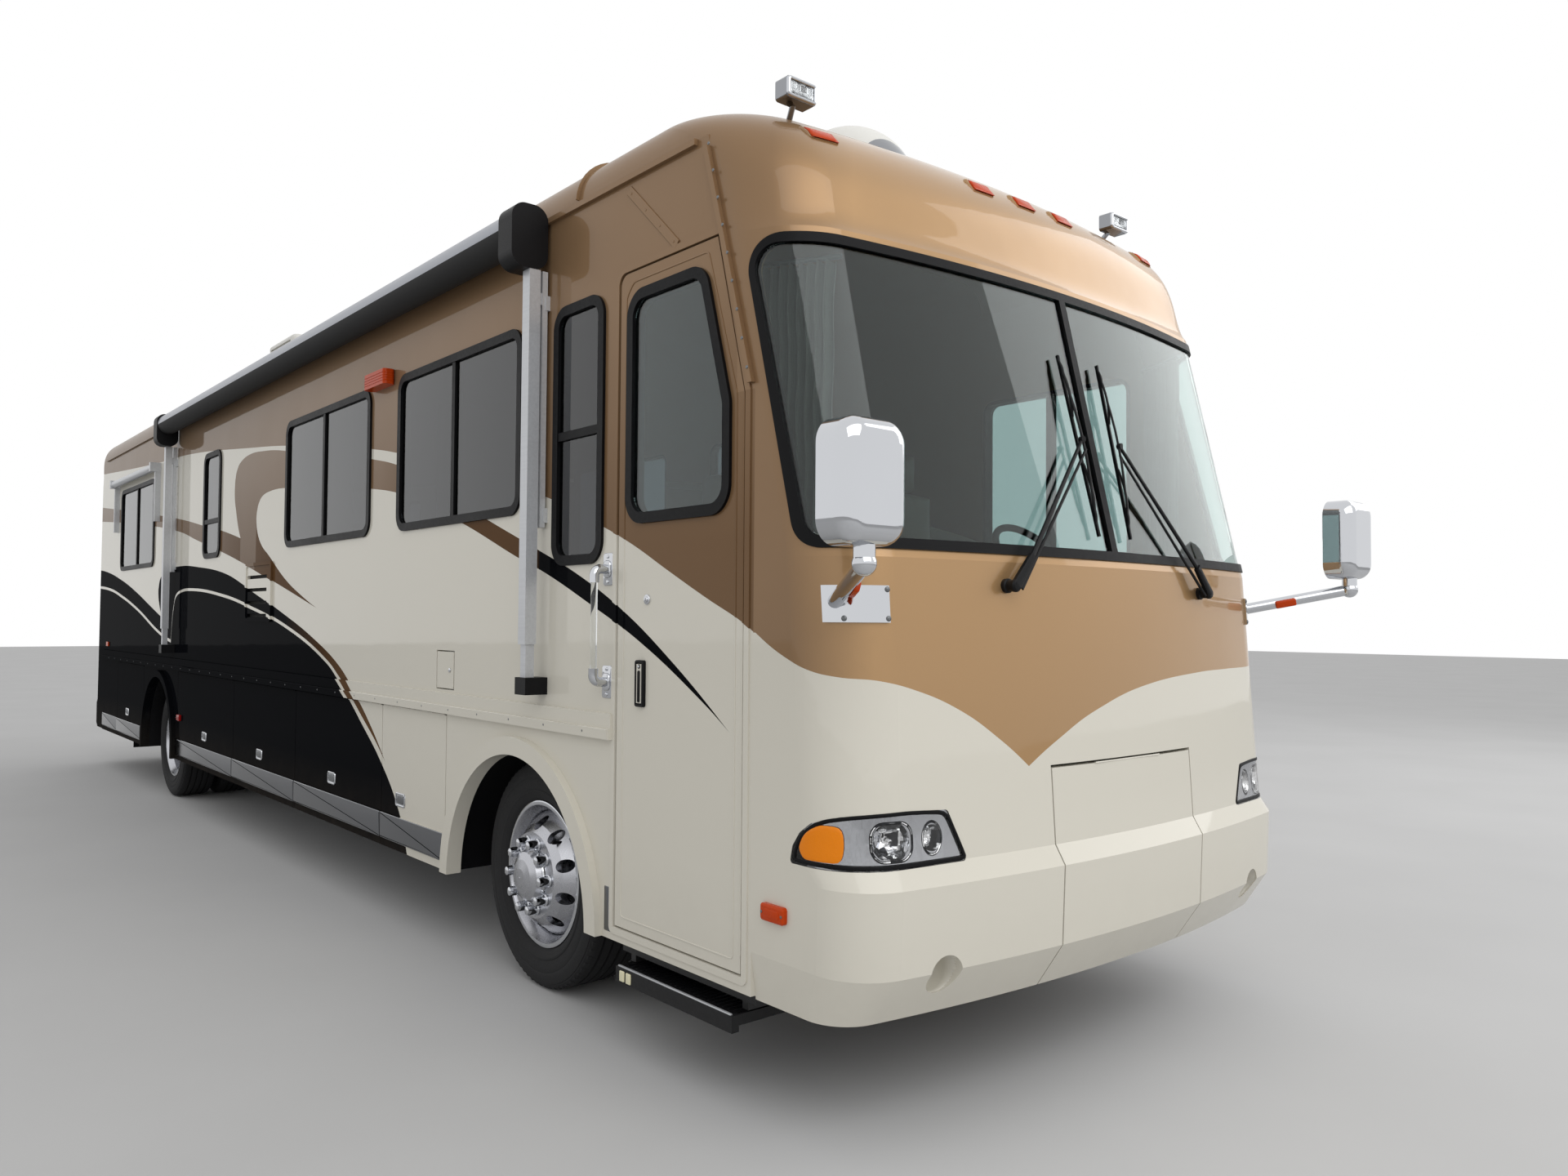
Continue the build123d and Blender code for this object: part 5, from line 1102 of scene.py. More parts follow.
# Belt: rivets along the rail and the insert between its lips
beltValues = {"z": 1.155, "out": 0.0238, "pitch": 0.306, "Right": (1.62, 32, 1.442), "Left": (0.72, 35, 0.612),
              "end": 11.53,
              "rivet": [(0.0, 0.0), (0.0055, 0.0), (0.005, 0.0018), (0.002, 0.0026), (0.0, 0.0027)],
              "insert": [(1.1345, 0.0245), (1.1715, 0.0262), (1.1735, 0.0245), (1.1735, 0.0235), (1.1345, 0.0235)]}
v = beltValues
insert = bmesh.new()
for label, side, place in bothSides:
    start, count, first = v[label]
    rivet = built((lathe, v["rivet"], place(start, v["z"], v["out"]), (side, 0, 0), 10))
    addRepeated("beltRivets" + label, rivet, "steel", rowTree, count, (0, v["pitch"], 0), smooth=60)
    rings = [[insert.verts.new(place(s, z, out)) for z, out in v["insert"]] for s in (first, v["end"])]
    bridge(insert, rings)
    for ring in rings:
        insert.faces.new(ring)
addPiece("beltInsert", insert, "paint")

# Drip rail rivets down the front cap's seam
for label, side, place in bothSides:
    rivet = built((lathe, [(0.0, 0.0), (0.006, 0.0), (0.0052, 0.0022), (0.0, 0.003)], place(0.6285, 2.40, 0.016),
                   (side, 0, 0), 10))
    addRepeated("dripRivets" + label, rivet, "steel", rowTree, 9, (0, 0.0272, 0.1), smooth=60)
print("stage: door and lids")

# Marker and clearance lamps: lenses with rims and screws
markerValues = {"clearance": [(-0.985, 3.238), (-0.253, 3.219), (0.0, 3.221), (0.253, 3.219), (0.985, 3.238)],
                "wide": 0.056, "tall": 0.027, "level": 3.22, "amber": (0.430, 0.542, 0.653, 0.706),
                "red": (8.1, 8.198, 0.719, 0.769), "porch": (3.6195, 3.9105), "porchOut": (-1.3325, -1.27),
                "porchRibs": (2.832, 2.846, 2.860, 2.874)}
v = markerValues
rims, lenses = bmesh.new(), bmesh.new()
for x, z in v["clearance"]:
    around = aroundAt(x, v["level"])
    hoop(rims, finer(boxAround(around, z, v["wide"] + 0.006, v["tall"] + 0.006, 0.014), 0.02), 0.012,
         [(0.0, -0.004), (0.001, 0.008), (0.004, 0.0135)], nosePoint)
    layers(lenses, finer(boxAround(around, z, v["wide"] - 0.004, v["tall"] - 0.004, 0.011), 0.02),
           [(0.0, 0.0), (0.0, 0.0145), (0.003, 0.019), (0.008, 0.021)], nosePoint)
addPiece("clearanceRims", rims, "paint")
addPiece("clearanceLenses", lenses, "amberSolid")
for label, side, place in bothSides:
    screws, amber, red = bmesh.new(), bmesh.new(), bmesh.new()
    for key, lens in (("amber", amber), ("red", red)):
        a0, a1, b0, b1 = v[key]
        layers(lens, roundRect(a0, a1, b0, b1, 0.01), [(0.0, -0.001), (0.0, 0.0135), (0.003, 0.0165),
                                                      (0.008, 0.0178)], place)
        layers(lens, roundRect(a0 + 0.02, a1 - 0.02, b0 + 0.013, b1 - 0.013, 0.008),
               [(0.0, 0.017), (0.0, 0.0188), (0.003, 0.0198)], place)
        for a in (a0 + 0.009, a1 - 0.009):
            layers(screws, oval(a, (b0 + b1) / 2, 0.0045, steps=12), [(0.0, 0.016), (0.0, 0.0188), (0.002, 0.0196)],
                   place)
    addPiece("sideMarkerScrews" + label, screws, "steel")
    addPiece("sideMarkerAmber" + label, amber, "amberSolid")
    addPiece("sideMarkerRed" + label, red, "redSolid")
edge = finer(roundRect(*v["porchOut"], *(yAt(s) for s in v["porch"]), 0.02), 0.05)
ribs = built(*((hoop, edge, 0.0035, [(0.0, z - 0.002), (-0.0015, z), (0.0, z + 0.002)], upright)
               for z in v["porchRibs"]))
addPiece("porchLampRibs", ribs, "amberSolid")
print("stage: marker lamps")


# Cabin: padded seats, sofa, dinette and bed in place of the plain blocks
padValues = {"cells": 10, "roundness": 0.16, "quality": 4, "pressure": 4.0, "frames": 16}


# A block with rounded corners and a crown on its two large faces
def padBlock(x0, x1, s0, s1, z0, z1, crown=0.02):
    bm = bmesh.new()
    size = Vector((x1 - x0, s1 - s0, z1 - z0))
    thin = min(range(3), key=lambda i: size[i])
    others = [i for i in range(3) if i != thin]
    bmesh.ops.create_cube(bm, size=1.0)
    bmesh.ops.subdivide_edges(bm, edges=bm.edges[:], cuts=padValues["cells"], use_grid_fill=True)
    for vert in bm.verts:
        u = vert.co * 2
        squares = [c * c for c in u]
        pairs = [(squares[i - 2], squares[i - 1]) for i in range(3)]
        rounded = Vector([c * math.sqrt(max(0.0, 1 - p / 2 - q / 2 + p * q / 3)) for c, (p, q) in zip(u, pairs)])
        soft = u.lerp(rounded, padValues["roundness"])
        rise = (1 - soft[others[0]] ** 2) * (1 - soft[others[1]] ** 2)
        soft[thin] *= 1 + rise * crown * 2 / size[thin]
        vert.co = Vector(((x0 + x1) / 2 + soft.x * size.x / 2, yAt((s0 + s1) / 2) + soft.y * size.y / 2,
                          (z0 + z1) / 2 + soft.z * size.z / 2))
    return bm


# The block as even cells, blown up as cloth by at most the limit
def swell(bm, voxel=0.016, limit=0.014):
    mesh = bpy.data.meshes.new("padRest")
    bm.to_mesh(mesh)
    bm.free()
    pad = bpy.data.objects.new("padRest", mesh)
    bpy.context.scene.collection.objects.link(pad)
    remesh = pad.modifiers.new("voxels", "REMESH")
    remesh.mode = "VOXEL"
    remesh.voxel_size = voxel
    ready = evaluated(pad)
    pad.modifiers.clear()
    pad.data = ready
    rest = [v.co.copy() for v in ready.vertices]
    cloth = pad.modifiers.new("cloth", "CLOTH")
    cloth.settings.quality = padValues["quality"]
    cloth.settings.use_pressure = True
    cloth.settings.uniform_pressure_force = padValues["pressure"]
    cloth.settings.effector_weights.gravity = 0.0
    cloth.point_cache.frame_start = 1
    cloth.point_cache.frame_end = padValues["frames"]
    for number in range(1, padValues["frames"] + 1):
        bpy.context.scene.frame_set(number)
    puffed = evaluated(pad)
    for vert, start in zip(puffed.vertices, rest):
        move = vert.co - start
        if move.length > limit:
            vert.co = start + move * (limit / move.length)
    pad.modifiers.clear()
    pad.data = puffed
    bpy.context.scene.frame_set(1)
    result = bmesh.new()
    result.from_mesh(pad.data)
    bpy.data.objects.remove(pad)
    return result


def addPad(name, pad, offset, key, replaces=()):
    copy = pad.copy()
    bmesh.ops.translate(copy, verts=copy.verts, vec=offset)
    piece = addPiece(name, copy, key, smooth=80, replaces=replaces)


def piping(bm, x0, x1, y0, y1, z):
    path = [Vector((a, b, z)) for a, b in finer(roundRect(x0, x1, y0, y1, 0.05, 5), 0.08)]
    sweep(bm, path, oval(0, 0, 0.0055, steps=6), closed=True)


seatValues = {"xs": (0.56, -0.33), "cushion": (0.54, 1.18, 1.74, 1.455, 1.585, 0.014),
              "back": (0.52, 1.705, 1.855, 1.60, 2.25, 0.014), "head": (0.27, 1.72, 1.825, 2.24, 2.43, 0.011),
              "piping": (1.472, 1.568), "arms": 0.295}
pads = {}
for key in ("cushion", "back", "head"):
    wide, s0, s1, z0, z1, voxel = seatValues[key]
    pads[key] = swell(padBlock(-wide / 2, wide / 2, s0, s1, z0, z1, 0.018), voxel)
for number, x in enumerate(seatValues["xs"]):
    for key, pad in pads.items():
        addPad(f"seat{number}{key.capitalize()}", pad, (x, 0, 0), "leather",
               replaces=("furnishings",) if key == "cushion" and not number else ())
    reach = seatValues["cushion"][0] / 2 - 0.004
    lines = built(*((piping, x - reach, x + reach, yAt(1.186), yAt(1.736), z) for z in seatValues["piping"]))
    addPiece(f"seat{number}Piping", lines, "plastic", smooth=80)
    bm = bmesh.new()
    layers(bm, roundRect(x - 0.16, x + 0.16, yAt(1.33), yAt(1.70), 0.05),
           [(0.0, 1.126), (0.0, 1.14), (0.03, 1.16), (0.05, 1.38), (0.01, 1.43), (-0.02, 1.452)], upright)
    for side in (-1, 1):
        beside = lambda a, b, out: Vector((x + side * seatValues["arms"] + out, a, b))
        layers(bm, roundRect(yAt(1.33), yAt(1.72), 1.72, 1.775, 0.024),
               [(0.012, -0.026), (0, -0.016), (0, 0.016), (0.012, 0.026)], beside)
        layers(bm, roundRect(yAt(1.66), yAt(1.71), 1.56, 1.73, 0.015), [(0.0, -0.012), (0.0, 0.012)], beside)
    addPiece(f"seat{number}Frame", bm, "plastic")

sofaValues = {"s": (2.70, 4.60), "arm": 0.12, "seats": 3, "seat": (0.505, 1.02, 1.40, 1.55),
              "back": (1.01, 1.19, 1.55, 1.95), "arms": (2.76, 4.54)}
v = sofaValues
span = (v["s"][1] - v["s"][0] - 2 * v["arm"]) / v["seats"]
first = v["s"][0] + v["arm"]
pads = {}
for label in ("Seat", "Back"):
    x0, x1, z0, z1 = v[label.lower()]
    pads[label] = swell(padBlock(x0, x1, first + 0.006, first + span - 0.006, z0, z1))
for number in range(v["seats"]):
    for label, pad in pads.items():
        addPad(f"sofa{label}{number}", pad, (0, number * span, 0), "cloth")
bm = bmesh.new()
layers(bm, roundRect(0.515, 1.205, yAt(2.71), yAt(4.59), 0.03),
       [(0.006, cabinFloor), (0, 1.14), (0, 1.385), (0.008, 1.398)], upright)
for s in v["arms"]:
    layers(bm, roundRect(0.51, 1.20, 1.14, 1.70, 0.05), [(0.02, -0.058), (0.0, -0.046), (0.0, 0.046), (0.02, 0.058)],
           lambda a, b, out: Vector((a, yAt(s) + out, b)))
addPiece("sofaFrame", bm, "cloth")

dinetteValues = {"benches": ((4.805, 5.30), (5.80, 6.295)), "table": (5.27, 5.83), "pad": (4.81, 5.295, 1.43, 1.545),
                 "leg": [(0.0, cabinFloor), (0.12, cabinFloor), (0.12, 1.14), (0.04, 1.16), (0.035, 1.55),
                         (0.09, 1.566), (0.0, 1.568)]}
benchPad = swell(padBlock(0.61, 1.205, *dinetteValues["pad"], 0.018))
bm = bmesh.new()
for number, (s0, s1) in enumerate(dinetteValues["benches"]):
    addPad(f"dinetteSeat{number}", benchPad, (0, s0 - dinetteValues["benches"][0][0], 0), "cloth")
    layers(bm, roundRect(0.612, 1.21, yAt(s0 + 0.003), yAt(s1 - 0.003), 0.02),
           [(0.0, cabinFloor), (0.0, 1.42), (0.01, 1.43)], upright)
layers(bm, roundRect(0.60, 1.21, *(yAt(s) for s in dinetteValues["table"]), 0.05),
       [(0.006, 1.566), (0.0, 1.572), (0.0, 1.594), (0.006, 1.60)], upright)
lathe(bm, dinetteValues["leg"], (0.90, yAt(5.55), 0), (0, 0, 1), 28)
addPiece("dinetteFrames", bm, "cabinetWood")

# Bed: mattress with a cover laid over it, and two pillows
bedValues = {"half": 0.775, "s": (9.935, 11.495), "top": 1.79, "drop": 0.24, "round": 0.05, "across": 64,
             "along": 60, "free": 0.38, "pillows": (-0.38, 0.38)}
v = bedValues
bed = (-v["half"], v["half"], yAt(v["s"][0]), yAt(v["s"][1]))
mattress = built((layers, roundRect(*inside(bed, 0.01), 0.07),
                  [(0.01, 1.60), (0.0, 1.612), (0.0, 1.76), (0.012, 1.782), (0.04, 1.786)], upright))
addPiece("bedMattress", mattress, "cover")
base = built((layers, roundRect(*inside(bed, 0.02), 0.02), [(0.0, 1.456), (0.0, 1.595), (0.006, 1.60)], upright))
addPiece("bedBase", base, "cabinetWood")


# The cover's line across the bed: flat, round the edge and down
def coverLine(distance):
    flatHalf, r = v["half"] - v["round"], v["round"]
    run = abs(distance)
    side = -1 if distance < 0 else 1
    if run <= flatHalf:
        return side * run, v["top"]
    bend = (run - flatHalf) / r
    if bend <= math.pi / 2:
        return side * (flatHalf + r * math.sin(bend)), v["top"] - r * (1 - math.cos(bend))
    return side * v["half"], v["top"] - r - (run - flatHalf - r * math.pi / 2)


# Faces between neighbouring rows of points
def meshGrid(bm, grid, order=(0, 3, 2, 1)):
    for low, high in zip(grid, grid[1:]):
        for i in range(len(low) - 1):
            corners = (low[i], low[i + 1], high[i + 1], high[i])
            bm.faces.new([corners[k] for k in order])


bm = bmesh.new()
reach = v["half"] - v["round"] + v["round"] * math.pi / 2 + v["drop"] - v["round"]
start, end = v["s"][0] + 0.02, v["s"][1] - v["free"]
grid = []
for i in range(v["across"] + 1):
    distance = -reach + 2 * reach * i / v["across"]
    x, z = coverLine(distance)
    hang = max(0.0, (v["top"] - v["round"] - z) / v["drop"])
    row = []
    for j in range(v["along"] + 1):
        s = start + (end - start) * j / v["along"]
        wave = 0.004 * math.sin(s * 21) * hang
        quilt = 0.002 * math.sin(s * 18) * math.sin(distance * 18) * (1 - hang)
        row.append(bm.verts.new((x + math.copysign(wave, x), yAt(s), z + quilt)))
    grid.append(row)
meshGrid(bm, grid)
cover = addPiece("bedCover", bm, "cover", smooth=80)
pillow = swell(padBlock(-0.33, 0.33, 11.12, 11.48, 1.80, 1.90, 0.03), limit=0.018)
for number, x in enumerate(v["pillows"]):
    addPad(f"bedPillow{number}", pillow, (x, 0, 0), "drape")

# Curtains gathered at both ends of the windscreen, each on a short rail
curtainValues = {"from": (1.165, 0.70), "to": (1.045, 0.475), "folds": 8, "deep": 0.028, "low": 1.83, "high": 2.76,
                 "middle": (1.105, 0.5875), "rows": 24, "railEnd": (1.172, 0.713)}


def addCurtain(name, side):
    v = curtainValues
    start, end = Vector(v["from"]), Vector(v["to"])
    along = end - start
    normal = Vector((-along.y, along.x)).normalized()
    midX, midS = v["middle"]
    steps = v["folds"] * 12
    line = []
    for i in range(steps + 1):
        t = i / steps
        wave = v["deep"] * math.sin(2 * math.pi * v["folds"] * t)
        line.append(start + along * t + normal * wave)
    bm = bmesh.new()
    grid = []
    for row in range(v["rows"] + 1):
        z = v["low"] + (v["high"] - v["low"]) * row / v["rows"]
        lean = 1.0 - 0.05 * math.sin(math.pi * row / v["rows"])
        drift = 0.004 * math.sin(row * 0.7)
        grid.append([bm.verts.new((side * ((p.x - midX) * lean + midX + drift), yAt((p.y - midS) * lean + midS), z))
                     for p in line])
    meshGrid(bm, grid, (0, 1, 2, 3) if side > 0 else (3, 2, 1, 0))
    curtain = addPiece(name, bm, "drape", smooth=80)
    rail = built((lathe, [(0.0, -0.02), (0.009, -0.02), (0.009, 0.29), (0.0, 0.29)],
                  (side * v["railEnd"][0], yAt(v["railEnd"][1]), v["high"] + 0.012), (side * along.x, along.y, 0), 14))
    addPiece(name + "Rail", rail, "steel")


addCurtain("curtainDoorSide", -1)
addCurtain("curtainDriverSide", 1)
print("stage: cabin")

# Roof lamps: chrome bezels round fluted lenses
roofLampValues = {"x": 0.979, "front": 0.722, "z": (3.3965, 3.4685), "half": 0.0665}
for label, side, _ in bothSides:
    v = roofLampValues
    facing = lambda a, b, out: Vector((side * v["x"] + a, yAt(v["front"] - out), b))
    bezel = (-v["half"], v["half"], *v["z"])
    addPiece("roofLampBezel" + label,
             built((hoop, roundRect(*bezel, 0.014), 0.0125,
                    [(0.0, -0.006), (-0.0008, 0.0), (0.0, 0.007), (0.003, 0.011), (0.0055, 0.0118)], facing)), "chrome")
    addPiece("roofLampBack" + label, built((layers, roundRect(-0.056, 0.056, *inside(bezel, 0.011)[2:], 0.011),
                                            [(0.0, 0.0006), (0.0, 0.0015)], facing)), "facet")
    addPiece("roofLampLens" + label,
             built((layers, roundRect(-0.055, 0.055, *inside(bezel, 0.012)[2:], 0.011),
                    [(0.0, 0.004), (0.0, 0.0055), (0.003, 0.0075), (0.008, 0.0088)], facing)), "fluted")

# Fog lamp cups, closed by a bottom, in the bumper's colour
fogValues = {"x": 0.935, "z": 0.52, "radius": 0.0628, "deep": 0.085, "start": 0.15, "steps": 36}
v = fogValues
r, s0, deep = v["radius"], v["start"], v["deep"]
bm = bmesh.new()
for side in (-1, 1):
    rings = []
    for radius, depth in ((r, None), (r - 0.0006, s0), (r - 0.006, s0 + deep * 0.2), (r * 0.72, s0 + deep * 0.42),
                          (r * 0.3, s0 + deep * 0.5)):
        circle = oval(v["x"], v["z"], radius, steps=v["steps"])
        rings.append([bm.verts.new(onBow(side, x, z, -0.007) if depth is None else (side * x, yAt(depth), z))
                      for x, z in circle])
    bridge(bm, rings)
    bm.faces.new(rings[-1])
thicken(addPiece("fogLampCups", bm, "creamCup", smooth=60))

# Entry step: ribbed pad, bright edge line and two pale reflectors
stepValues = {"s": (0.70, 1.375), "x": (-1.262, -0.99), "ribs": 24, "pitch": 0.0272, "reflectors": (1.283, 1.325)}
v = stepValues
treadSpan = [yAt(s) for s in v["s"]]
addPiece("stepPad", built((layers, roundRect(*v["x"], *treadSpan, 0.02), [(0.0, 0.309), (0.0, 0.3115), (0.002, 0.3125)],
                           upright)), "rubber", "entry_step")
rib = built((layers, roundRect(v["x"][0] + 0.012, v["x"][1] - 0.012, yAt(0.712), yAt(0.724), 0.003, 2),
             [(0, 0.312), (0, 0.3145), (0.002, 0.3155)], upright))
addRepeated("stepRibs", rib, "rubber", rowTree, v["ribs"], (0, v["pitch"], 0), body="entry_step")
addPiece("stepNosing", built((layers, roundRect(-1.276, -1.266, *treadSpan, 0.003, 2),
                              [(0, 0.3085), (0, 0.3135), (0.001, 0.3145)], upright)), "silver", "entry_step")
addPiece("stepReflectors", built(*((layers, roundRect(s, s + 0.03, 0.262, 0.300, 0.004), domed(0.0045, 0.002),
                                    lambda a, b, out: Vector((-1.278 - out, yAt(a), b))) for s in v["reflectors"])),
         "paleAmber", "entry_step")

# Roof: strap over the roof edge and the riveted diagonal strip over the door
roofValues = {"corner": (1.07, 3.245), "radius": 0.2005, "strap": 1.735, "first": 4, "turn": 74, "steps": 9,
              "diagonal": ((1.36, 3.19), (1.045, 2.905)), "rivets": (0.06, 0.37, 0.66, 0.94)}
v = roofValues
path = []
for k in range(v["steps"] + 1):
    angle = math.radians(v["first"] + v["turn"] * k / v["steps"])
    path.append(Vector((-(v["corner"][0] + v["radius"] * math.cos(angle)), yAt(v["strap"]),
                        v["corner"][1] + v["radius"] * math.sin(angle))))
addPiece("roofStrapRight", built((sweep, path, [(-0.014, -0.001), (-0.014, 0.003), (-0.006, 0.0055), (0.006, 0.0055),
                                                (0.014, 0.003), (0.014, -0.001)], False, Vector((0, 1, 0)))), "paint")
addPiece("diagonalTrim", built((sweep, [rightWall(*end) for end in v["diagonal"]],
                                [(-0.019, -0.001), (-0.0185, 0.004), (-0.0165, 0.0052), (0.0165, 0.0052),
                                 (0.0185, 0.004), (0.019, -0.001)], False, Vector((-1, 0, 0)))), "paint", smooth=12)
rear, front = v["diagonal"]
bm = bmesh.new()
for t in v["rivets"]:
    spot = rightWall(*(p + (q - p) * t for p, q in zip(rear, front)), 0.005)
    lathe(bm, [(0.0, 0.0), (0.005, 0.0), (0.0045, 0.0016), (0.0, 0.0022)], spot, (-1, 0, 0), 10)
addPiece("diagonalTrimRivets", bm, "paint")

# Refrigerator louvres: fine mesh behind the slots
addPiece("louvreMesh", built((layers, roundRect(5.77, 6.262, 1.580, 1.895, 0.01, 2), [(0.0, -0.016), (0.0, -0.013)],
                              rightWall)), "mesh")

# Rear: lamp segments in their rims, and the blank plate
rearValues = {"x": 1.06, "half": 0.053, "rim": (0.9605, 1.4795, 0.0645),
              "rows": ((0.975, 1.13, "redSolid"), (1.145, 1.30, "amberSolid"), (1.315, 1.465, "lampGlass")),
              "plate": (-0.155, 0.155, 0.52, 0.68)}
v = rearValues
for label, side, _ in bothSides:
    x = side * v["x"]
    low, high, half = v["rim"]
    rim = built((hoop, finer(roundRect(x - half, x + half, low, high, 0.012), 0.05), 0.0095,
                 [(0.0, 0.0), (0.0, 0.014), (0.003, 0.017)], tailPoint))
    addPiece("rearLampRim" + label, rim, "chrome")
    for low, high, key in v["rows"]:
        lens = built((layers, roundRect(x - v["half"], x + v["half"], low, high, 0.012),
                      [(0.0, 0.006), (0.0, 0.0135), (0.003, 0.0165), (0.009, 0.018)], tailPoint))
        addPiece(f"rearLamp{label}{key}", lens, key)
plate = built((layers, roundRect(*v["plate"], 0.012), [(0.0, -0.004), (0.0, 0.0052), (0.002, 0.0065)],
               lambda a, b, out: Vector((a, yAt(12.0755 + out), b))))
addPiece("blankPlate", plate, "white")
print("stage: roof, rear and step")

# Wipers: tapered arms and bridged blades in place of the plain rods
wiperValues = {"pivot": (0.603, 1.702), "knee": (0.118, 2.240), "low": (0.100, 1.890), "high": (0.124, 2.560),
               "boss": [(0.0, -0.002), (0.024, -0.002), (0.024, 0.012), (0.019, 0.016), (0.019, 0.036),
                        (0.021, 0.038), (0.021, 0.047), (0.015, 0.054), (0.0, 0.056)],
               "bow": [(-0.0055, -0.003), (0.0055, -0.003), (0.0055, 0.001), (0.003, 0.003), (-0.003, 0.003),
                       (-0.0055, 0.001)],
               "rubber": [(-0.0045, -0.0015), (-0.0012, -0.0095), (0.0012, -0.0095), (0.0045, -0.0015),
                          (0.0045, 0.0035), (-0.0045, 0.0035)]}


def strap(bm, a, b, wide, thick, up):
    along = (b - a).normalized()
    across = along.cross(up).normalized()
    lift = across.cross(along)
    rings = []
    for t in (0.0, 0.12, 0.5, 0.88, 1.0):
        spot = a.lerp(b, t)
        half = wide[0] + (wide[1] - wide[0]) * t
        rings.append([bm.verts.new(spot + across * p * half + lift * q * thick)
                      for p, q in ((-1, -0.5), (1, -0.5), (1, 0.3), (0.6, 0.6), (-0.6, 0.6), (-1, 0.3))])
    bridge(bm, rings)
    bm.faces.new(rings[0][::-1])
    bm.faces.new(rings[-1])


def wiper(bm, edge, side):
    v = wiperValues
    px, pz = v["pivot"]
    kx, kz = v["knee"]
    (lx, lz), (hx, hz) = v["low"], v["high"]
    foot = onBow(side, px, pz, 0.0)
    face = (onBow(side, px, pz, 0.05) - foot).normalized()
    lathe(bm, v["boss"], foot, face, 28)
    knee = onBow(side, kx, kz, 0.046)
    strap(bm, onBow(side, px, pz, 0.046), onBow(side, px - 0.09, pz + 0.10, 0.046), (0.019, 0.014), 0.016, face)
    strap(bm, onBow(side, px - 0.085, pz + 0.095, 0.046), knee, (0.0095, 0.0055), 0.008, face)
    strap(bm, onBow(side, px - 0.03, pz - 0.01, 0.042), onBow(side, kx - 0.012, kz - 0.035, 0.046),
          (0.006, 0.0045), 0.006, face)
    lathe(bm, [(0.0, -0.008), (0.0115, -0.008), (0.0115, 0.008), (0.0, 0.008)], knee, face, 16)

    def onBlade(t, out):
        return onBow(side, lx + (hx - lx) * t, lz + (hz - lz) * t, out)

    mid = (kz - lz) / (hz - lz)
    strap(bm, knee, onBlade(mid, 0.042), (0.0085, 0.0085), 0.010, face)
    for a, b, high in ((mid - 0.27, mid + 0.27, 0.046), (mid - 0.40, mid - 0.13, 0.036),
                       (mid + 0.13, mid + 0.40, 0.036), (max(0.02, mid - 0.46), mid - 0.33, 0.029),
                       (mid + 0.33, min(0.98, mid + 0.46), 0.029)):
        points = [onBlade(a + (b - a) * k / 6, high - 0.011 * (abs(k - 3) / 3) ** 2) for k in range(7)]
        sweep(bm, points, v["bow"], up=face)
    sweep(edge, [onBlade(k / 10, 0.021) for k in range(11)], v["rubber"], up=face)


bm, edge = bmesh.new(), bmesh.new()
for side in (-1, 1):
    wiper(bm, edge, side)
addPiece("wiperArms", bm, "plastic", replaces=("wipers",))
addPiece("wiperRubbers", edge, "rubber")

# Grab handle: clear bar between chromed elbows
v = handleValues
bm = bmesh.new()
for z, way in ((v["low"], 1), (v["high"], -1)):
    path = [rightWall(v["s"], z, -0.002)]
    for k in range(8):
        angle = math.pi / 2 * k / 7
        path.append(rightWall(v["s"], z + way * v["bend"] * (1 - math.cos(angle)),
                              v["out"] - v["bend"] + v["bend"] * math.sin(angle)))
    path.append(rightWall(v["s"], z + way * 2 * v["bend"], v["out"]))
    sweep(bm, path, oval(0, 0, v["elbow"], steps=16), up=Vector((0, 1, 0)))
    layers(bm, boxAround(v["s"], z, 0.024, 0.034, 0.02, 6), domed(0.012, 0.006), rightWall)
addPiece("grabHandleElbows", bm, "chrome", smooth=50, replaces=("grab_handle",))
barLength = v["high"] - v["low"] - 0.08
bar = built((lathe, [(0.0, 0.0), (v["bar"], 0.0), (v["bar"], barLength), (0.0, barLength)],
             rightWall(v["s"], v["low"] + 0.04, v["out"]), (0, 0, 1), 28))
addPiece("grabHandleBar", bar, "clearBar", smooth=50)

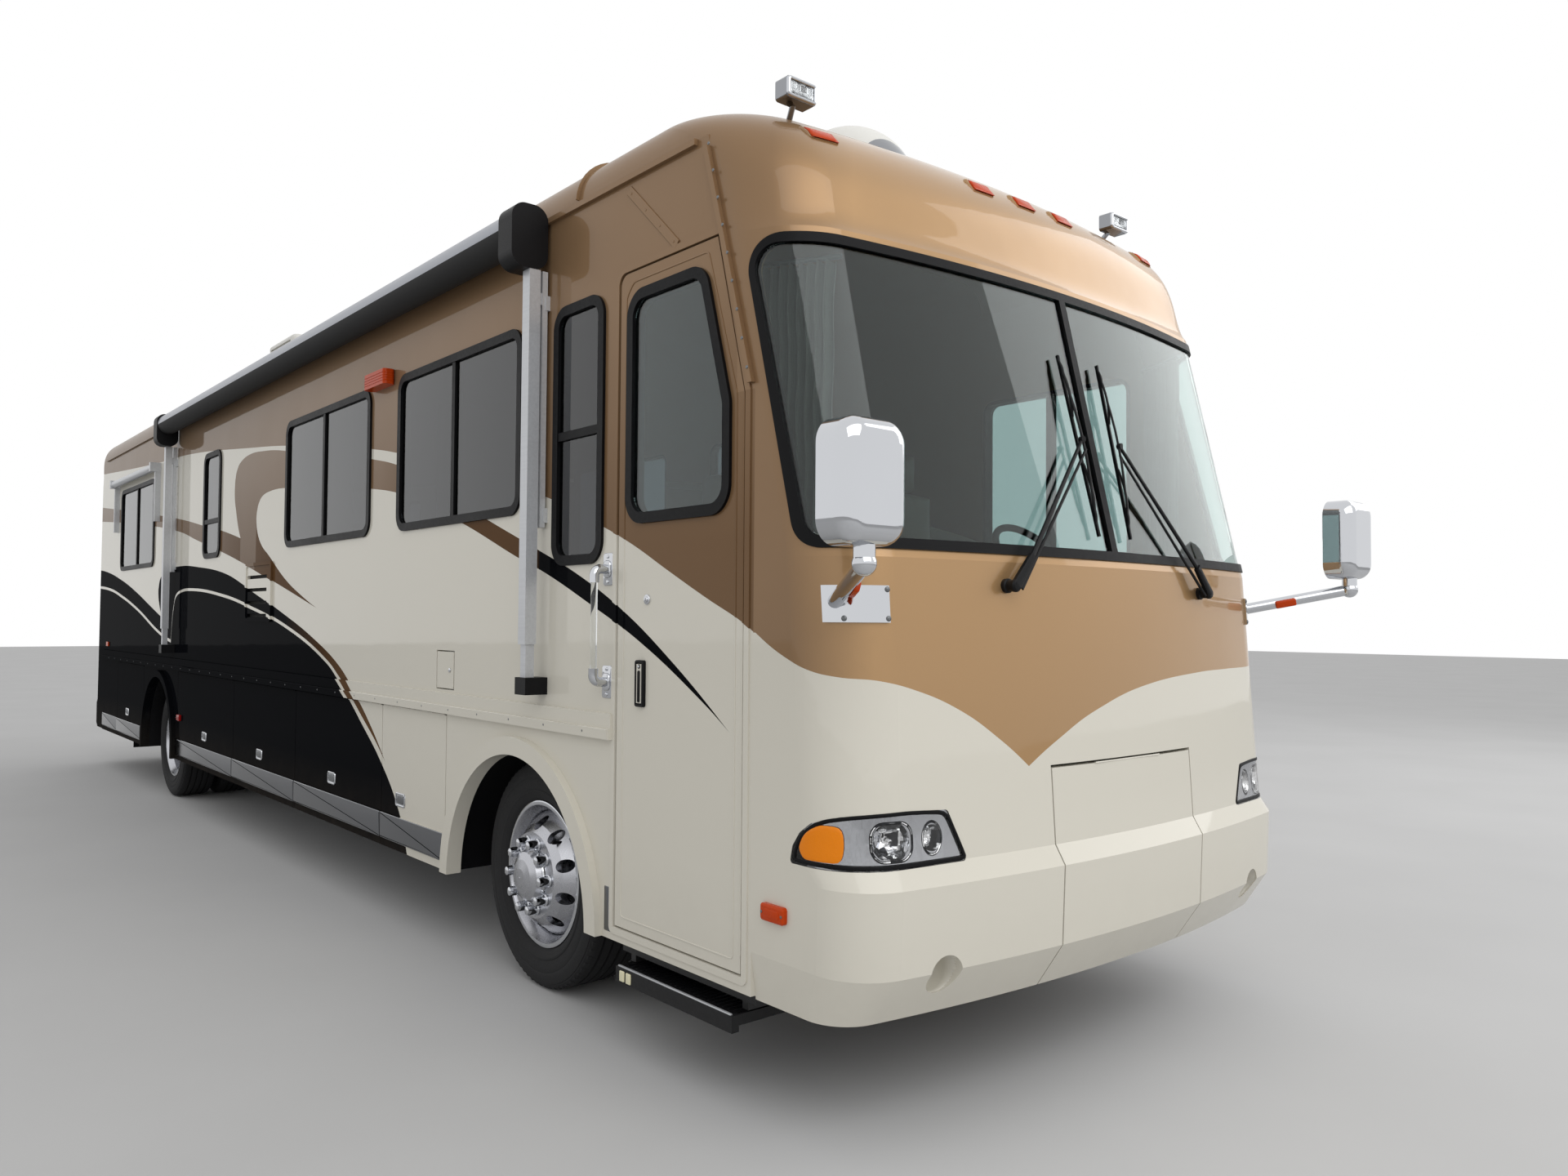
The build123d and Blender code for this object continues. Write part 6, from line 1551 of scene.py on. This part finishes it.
# Roof: slats round the air conditioners, and the vents' lids
roofUnitValues = {"Front": 4.2, "Rear": 9.3, "halfX": 0.362, "halfY": 0.537, "slats": 5, "pitch": 0.017,
                  "vents": (6.5, 7.9)}
v = roofUnitValues
outline = finer(boxAround(0, 0, v["halfX"], v["halfY"], 0.10, 5), 0.2)
for label in ("Front", "Rear"):
    slat = built((hoop, outline, 0.02, [(0.0, 3.470), (0.0, 3.476), (0.004, 3.479)],
                  lambda a, b, out: Vector((a, b + yAt(v[label]), out))))
    addRepeated("roofUnitSlats" + label, slat, "white", rowTree, v["slats"], (0, 0, v["pitch"]), smooth=30)
lids = built(*((layers, boxAround(0, yAt(s), 0.235, 0.235, 0.062, 5),
                [(0.0, 3.522), (0.0, 3.536), (0.012, 3.545), (0.07, 3.553), (0.15, 3.556)], upright)
               for s in v["vents"]))
addPiece("roofVentLids", lids, "smokeLid", smooth=50)

# Fuel flap: lock
addPiece("fuelFlapLock", built((layers, oval(2.885, 1.338, 0.011, steps=20), domed(0.0035, 0.0015, base=0.002),
                                rightWall)), "chrome", "fuel_flap")

# Bright plate between the front arch and the door
addPiece("archStrip", built((layers, roundRect(1.430, 1.482, 0.42, 0.584, 0.004, 2),
                             [(0.0, -0.002), (0.0, 0.0014), (0.002, 0.0022)], rightWall)), "mirrorSteel", smooth=12)

# Dash: instrument hood and the steering wheel's boss
dashValues = {"hoodX": (0.32, 0.80), "hoodS": (0.30, 0.52), "boss": (0.56, 0.88, 1.85), "tilt": 49,
              "bossProfile": [(0.0, -0.02), (0.055, -0.02), (0.07, -0.008), (0.07, 0.006), (0.055, 0.02),
                              (0.0, 0.026)]}
v = dashValues
hood = built((layers, roundRect(*v["hoodX"], *(yAt(s) for s in v["hoodS"]), 0.08, 6),
              [(0.0, 1.779), (0.004, 1.83), (0.012, 1.855), (0.03, 1.866), (0.06, 1.868)], upright))
addPiece("dashHood", hood, "plastic", smooth=50)
x, s, z = v["boss"]
axis = Matrix.Rotation(math.radians(v["tilt"]), 3, "X") @ Vector((0, 0, 1))
addPiece("steeringBoss", built((lathe, v["bossProfile"], (x, yAt(s), z), axis, 28)), "plastic", smooth=50)
print("stage: wipers, handle, roof units")
